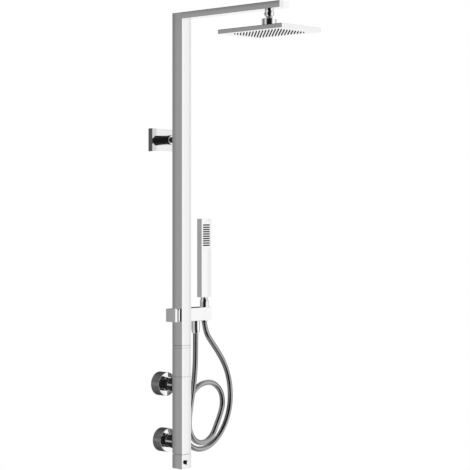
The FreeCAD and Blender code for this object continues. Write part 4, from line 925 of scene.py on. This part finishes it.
# --------------------------------------------------------------------------
# The hose
# --------------------------------------------------------------------------
@dataclass
class Hose:
    """Metal hose from the crossbar's outlet to the hand shower's cone.

    Attributes:
        diameter: Its outside.
        wall_gap: From the wall to the column's axis.
        base: Height of the column's underside in the frame.
        groove: Depth of the groove between its wound bands.
        pitch: Width of one band.
        around: Facets round it.
        follow: Length of its end that would move with the cone; not used.
        route: Points in millimetres: right of the column's axis, behind it, above its underside.
    """

    diameter: float = 14.5 * MM
    wall_gap: float = 81.0 * MM
    base: float = -867.0 * MM
    groove: float = 0.12 * MM
    pitch: float = 3.6 * MM
    around: int = 20
    follow: float = 0.2
    route: List[Point] = field(default_factory=lambda: [
        (55.3, 3.25, 352.25),
        (55.3, 3.3, 310.0), (55.0, 4.5, 258.0), (50.5, 7.5, 204.0), (43.0, 10.5, 154.0),
        (38.5, 12.0, 116.0), (44.0, 13.0, 85.0), (67.5, 14.3, 59.0), (103.0, 15.8, 52.5),
        (135.0, 17.8, 69.0), (153.0, 20.0, 97.0), (171.0, 22.5, 124.0), (184.0, 25.0, 152.0),
        (179.5, 28.0, 187.0), (153.0, 31.2, 211.5), (119.0, 34.0, 213.5), (89.0, 36.3, 200.5),
        (66.0, 38.0, 175.0), (51.0, 39.5, 140.0), (45.0, 40.0, 100.0), (52.0, 38.5, 63.0),
        (78.0, 35.0, 38.0), (116.0, 29.5, 33.0), (155.0, 24.0, 52.5), (183.5, 18.5, 90.5),
        (200.0, 14.5, 137.0), (199.5, 11.0, 187.0), (186.5, 8.0, 233.0), (165.5, 6.0, 270.0),
        (140.0, 4.5, 301.0), (115.0, 4.0, 328.0), (94.5, 3.5, 352.0),
        (88.3, 3.25, 381.75),
    ])

    CURVE_STEPS = 14  # points of the centreline to each of the route's
    RINGS = 4  # rings of points to each band
    SHARPNESS = 6  # the groove is narrower when it is higher
    EDGE_ANGLE = 60.0

    def centreline(self) -> np.ndarray:
        """The hose's smooth centreline in the frame, read from a spline.

        Returns:
            Points in metres, close together.
        """
        curve = bpy.data.curves.new("hose_line", "CURVE")
        curve.dimensions, curve.resolution_u = "3D", self.CURVE_STEPS
        spline = curve.splines.new("NURBS")
        spline.points.add(len(self.route) - 1)
        for spot, (x, y, z) in zip(spline.points, self.route):
            spot.co = (x * MM, y * MM - self.wall_gap, z * MM + self.base, 1.0)
        spline.order_u, spline.use_endpoint_u = 3, True
        guide = bpy.data.objects.new("hose_line", curve)
        bpy.context.scene.collection.objects.link(guide)
        bpy.context.view_layer.update()
        line = bpy.data.meshes.new_from_object(guide)
        points = np.array([v.co[:] for v in line.vertices], float)
        bpy.data.objects.remove(guide)
        bpy.data.curves.remove(curve)
        bpy.data.meshes.remove(line)
        return points

    @staticmethod
    def respaced(points: np.ndarray, step: float) -> np.ndarray:
        """The same line with evenly spaced points.

        Args:
            points: The line.
            step: Distance between points, about.

        Returns:
            The evenly spaced line.
        """
        lengths = np.linalg.norm(np.diff(points, axis=0), axis=1)
        along = np.concatenate([[0.0], np.cumsum(lengths)])
        count = int(round(along[-1] / step)) + 1
        wanted = np.linspace(0.0, along[-1], count)
        return np.stack([np.interp(wanted, along, points[:, k]) for k in range(3)], axis=1)

    def _rings(self, fine: np.ndarray, length: float) -> List[np.ndarray]:
        """Points of the hose's surface, ring by ring, with the groove wound round it.

        Args:
            fine: The evenly spaced centreline.
            length: The centreline's length.

        Returns:
            The points in metres.
        """
        tangents = np.gradient(fine, axis=0)
        tangents /= np.linalg.norm(tangents, axis=1)[:, None]
        side = np.cross(tangents[0], [0.0, 1.0, 0.0])
        side /= np.linalg.norm(side)
        step = length / (len(fine) - 1)
        turns = np.arange(self.around) * 2 * math.pi / self.around
        points: List[np.ndarray] = []
        for i, (centre, tangent) in enumerate(zip(fine, tangents)):
            side = side - tangent * float(side @ tangent)
            side /= np.linalg.norm(side)
            across = np.cross(tangent, side)
            phase = 2 * math.pi * i * step / self.pitch
            depth = self.groove * np.maximum(0.0, np.cos(turns - phase)) ** self.SHARPNESS
            radius = self.diameter / 2 - depth
            points.extend(centre + radius[:, None] * (
                np.cos(turns)[:, None] * side + np.sin(turns)[:, None] * across
            ))
        return points

    def _faces(self, rings: int) -> List[List[int]]:
        """Faces between the rings, and one over each end.

        Args:
            rings: How many rings there are.

        Returns:
            Point indices of each face.
        """
        faces = []
        for i in range(rings - 1):
            for j in range(self.around):
                k = (j + 1) % self.around
                here, there = i * self.around, (i + 1) * self.around
                faces.append([here + j, here + k, there + k, there + j])
        last = (rings - 1) * self.around
        faces.append(list(range(self.around)))
        faces.append([last + j for j in range(self.around)])
        return faces

    def build(self, finishes: Finishes) -> None:
        """Args:
            finishes: The finishes.
        """
        line = self.centreline()
        length = float(np.linalg.norm(np.diff(line, axis=0), axis=1).sum())
        fine = self.respaced(line, self.pitch / self.RINGS)
        vertices, faces = self._rings(fine, length), self._faces(len(fine))
        hose = smooth(add_object("hand_shower_hose", vertices, faces), self.EDGE_ANGLE)
        finishes.dress(hose, Slot.HOSE)
        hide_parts("hose")
        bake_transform(hose)
        LOG.info("hose: %.3f m long, %.1f mm thick", length, self.diameter / MM)


# --------------------------------------------------------------------------
# Carried-over pieces
# --------------------------------------------------------------------------
class Carried:
    """The design's own pieces, which keep their shape and get their finish here."""

    FINISHES = {
        Finish.COLUMN: ("riser_tube", "riser_collar", "valve_housing", "flow_handle", "temp_handle"),
        Finish.ARM: ("riser_top_cap", "arm_tube", "arm_end_cap"),
        Finish.HANDSET: ("handset_shell",),
        Finish.PLATE: ("wall_plate", "head_shell"),
        # painted shadow in the column's seam
        Finish.GAP: ("riser_coupling",),
    }
    # pieces whose sides get painted shade
    SHADED_SIDES = {"wall_flanges": Finish.RIM, "wall_plate": Finish.PLATE_RIM}
    EDGE_ANGLE = 30.0

    def dress(self, finishes: Finishes) -> None:
        """Gives every node of the design its finish, with painted shade on some pieces' sides.

        Args:
            finishes: The finishes.
        """
        slots = {slot.value: slot for slot in Slot}
        own = {node: finish for finish, nodes in self.FINISHES.items() for node in nodes}
        for entry in frame["record"]["subparts"]:
            name = entry["node"]
            node = frame["nodes"][name]
            if node.hide_render:
                continue
            finishes.dress(node, slots[entry["material_slot"]], own.get(name))
            # painted shade on the sides of the wall flanges and the wall plate
            if name in self.SHADED_SIDES:
                finishes.paint_side_shade(node, self.SHADED_SIDES[name])
            smooth(node, self.EDGE_ANGLE)
            flats = node.modifiers.new("flat_faces", "WEIGHTED_NORMAL")
            flats.keep_sharp = True
            LOG.info("dressed %s as %s", name, entry["material_slot"])


def main() -> None:
    """Builds the studio and the column in order."""
    logging.basicConfig(level=logging.INFO, format="%(name)s: %(message)s")
    Studio().build()
    finishes = Finishes(NodeEffects())
    Hose().build(finishes)
    Carried().dress(finishes)


if __name__ == "__main__":
    main()
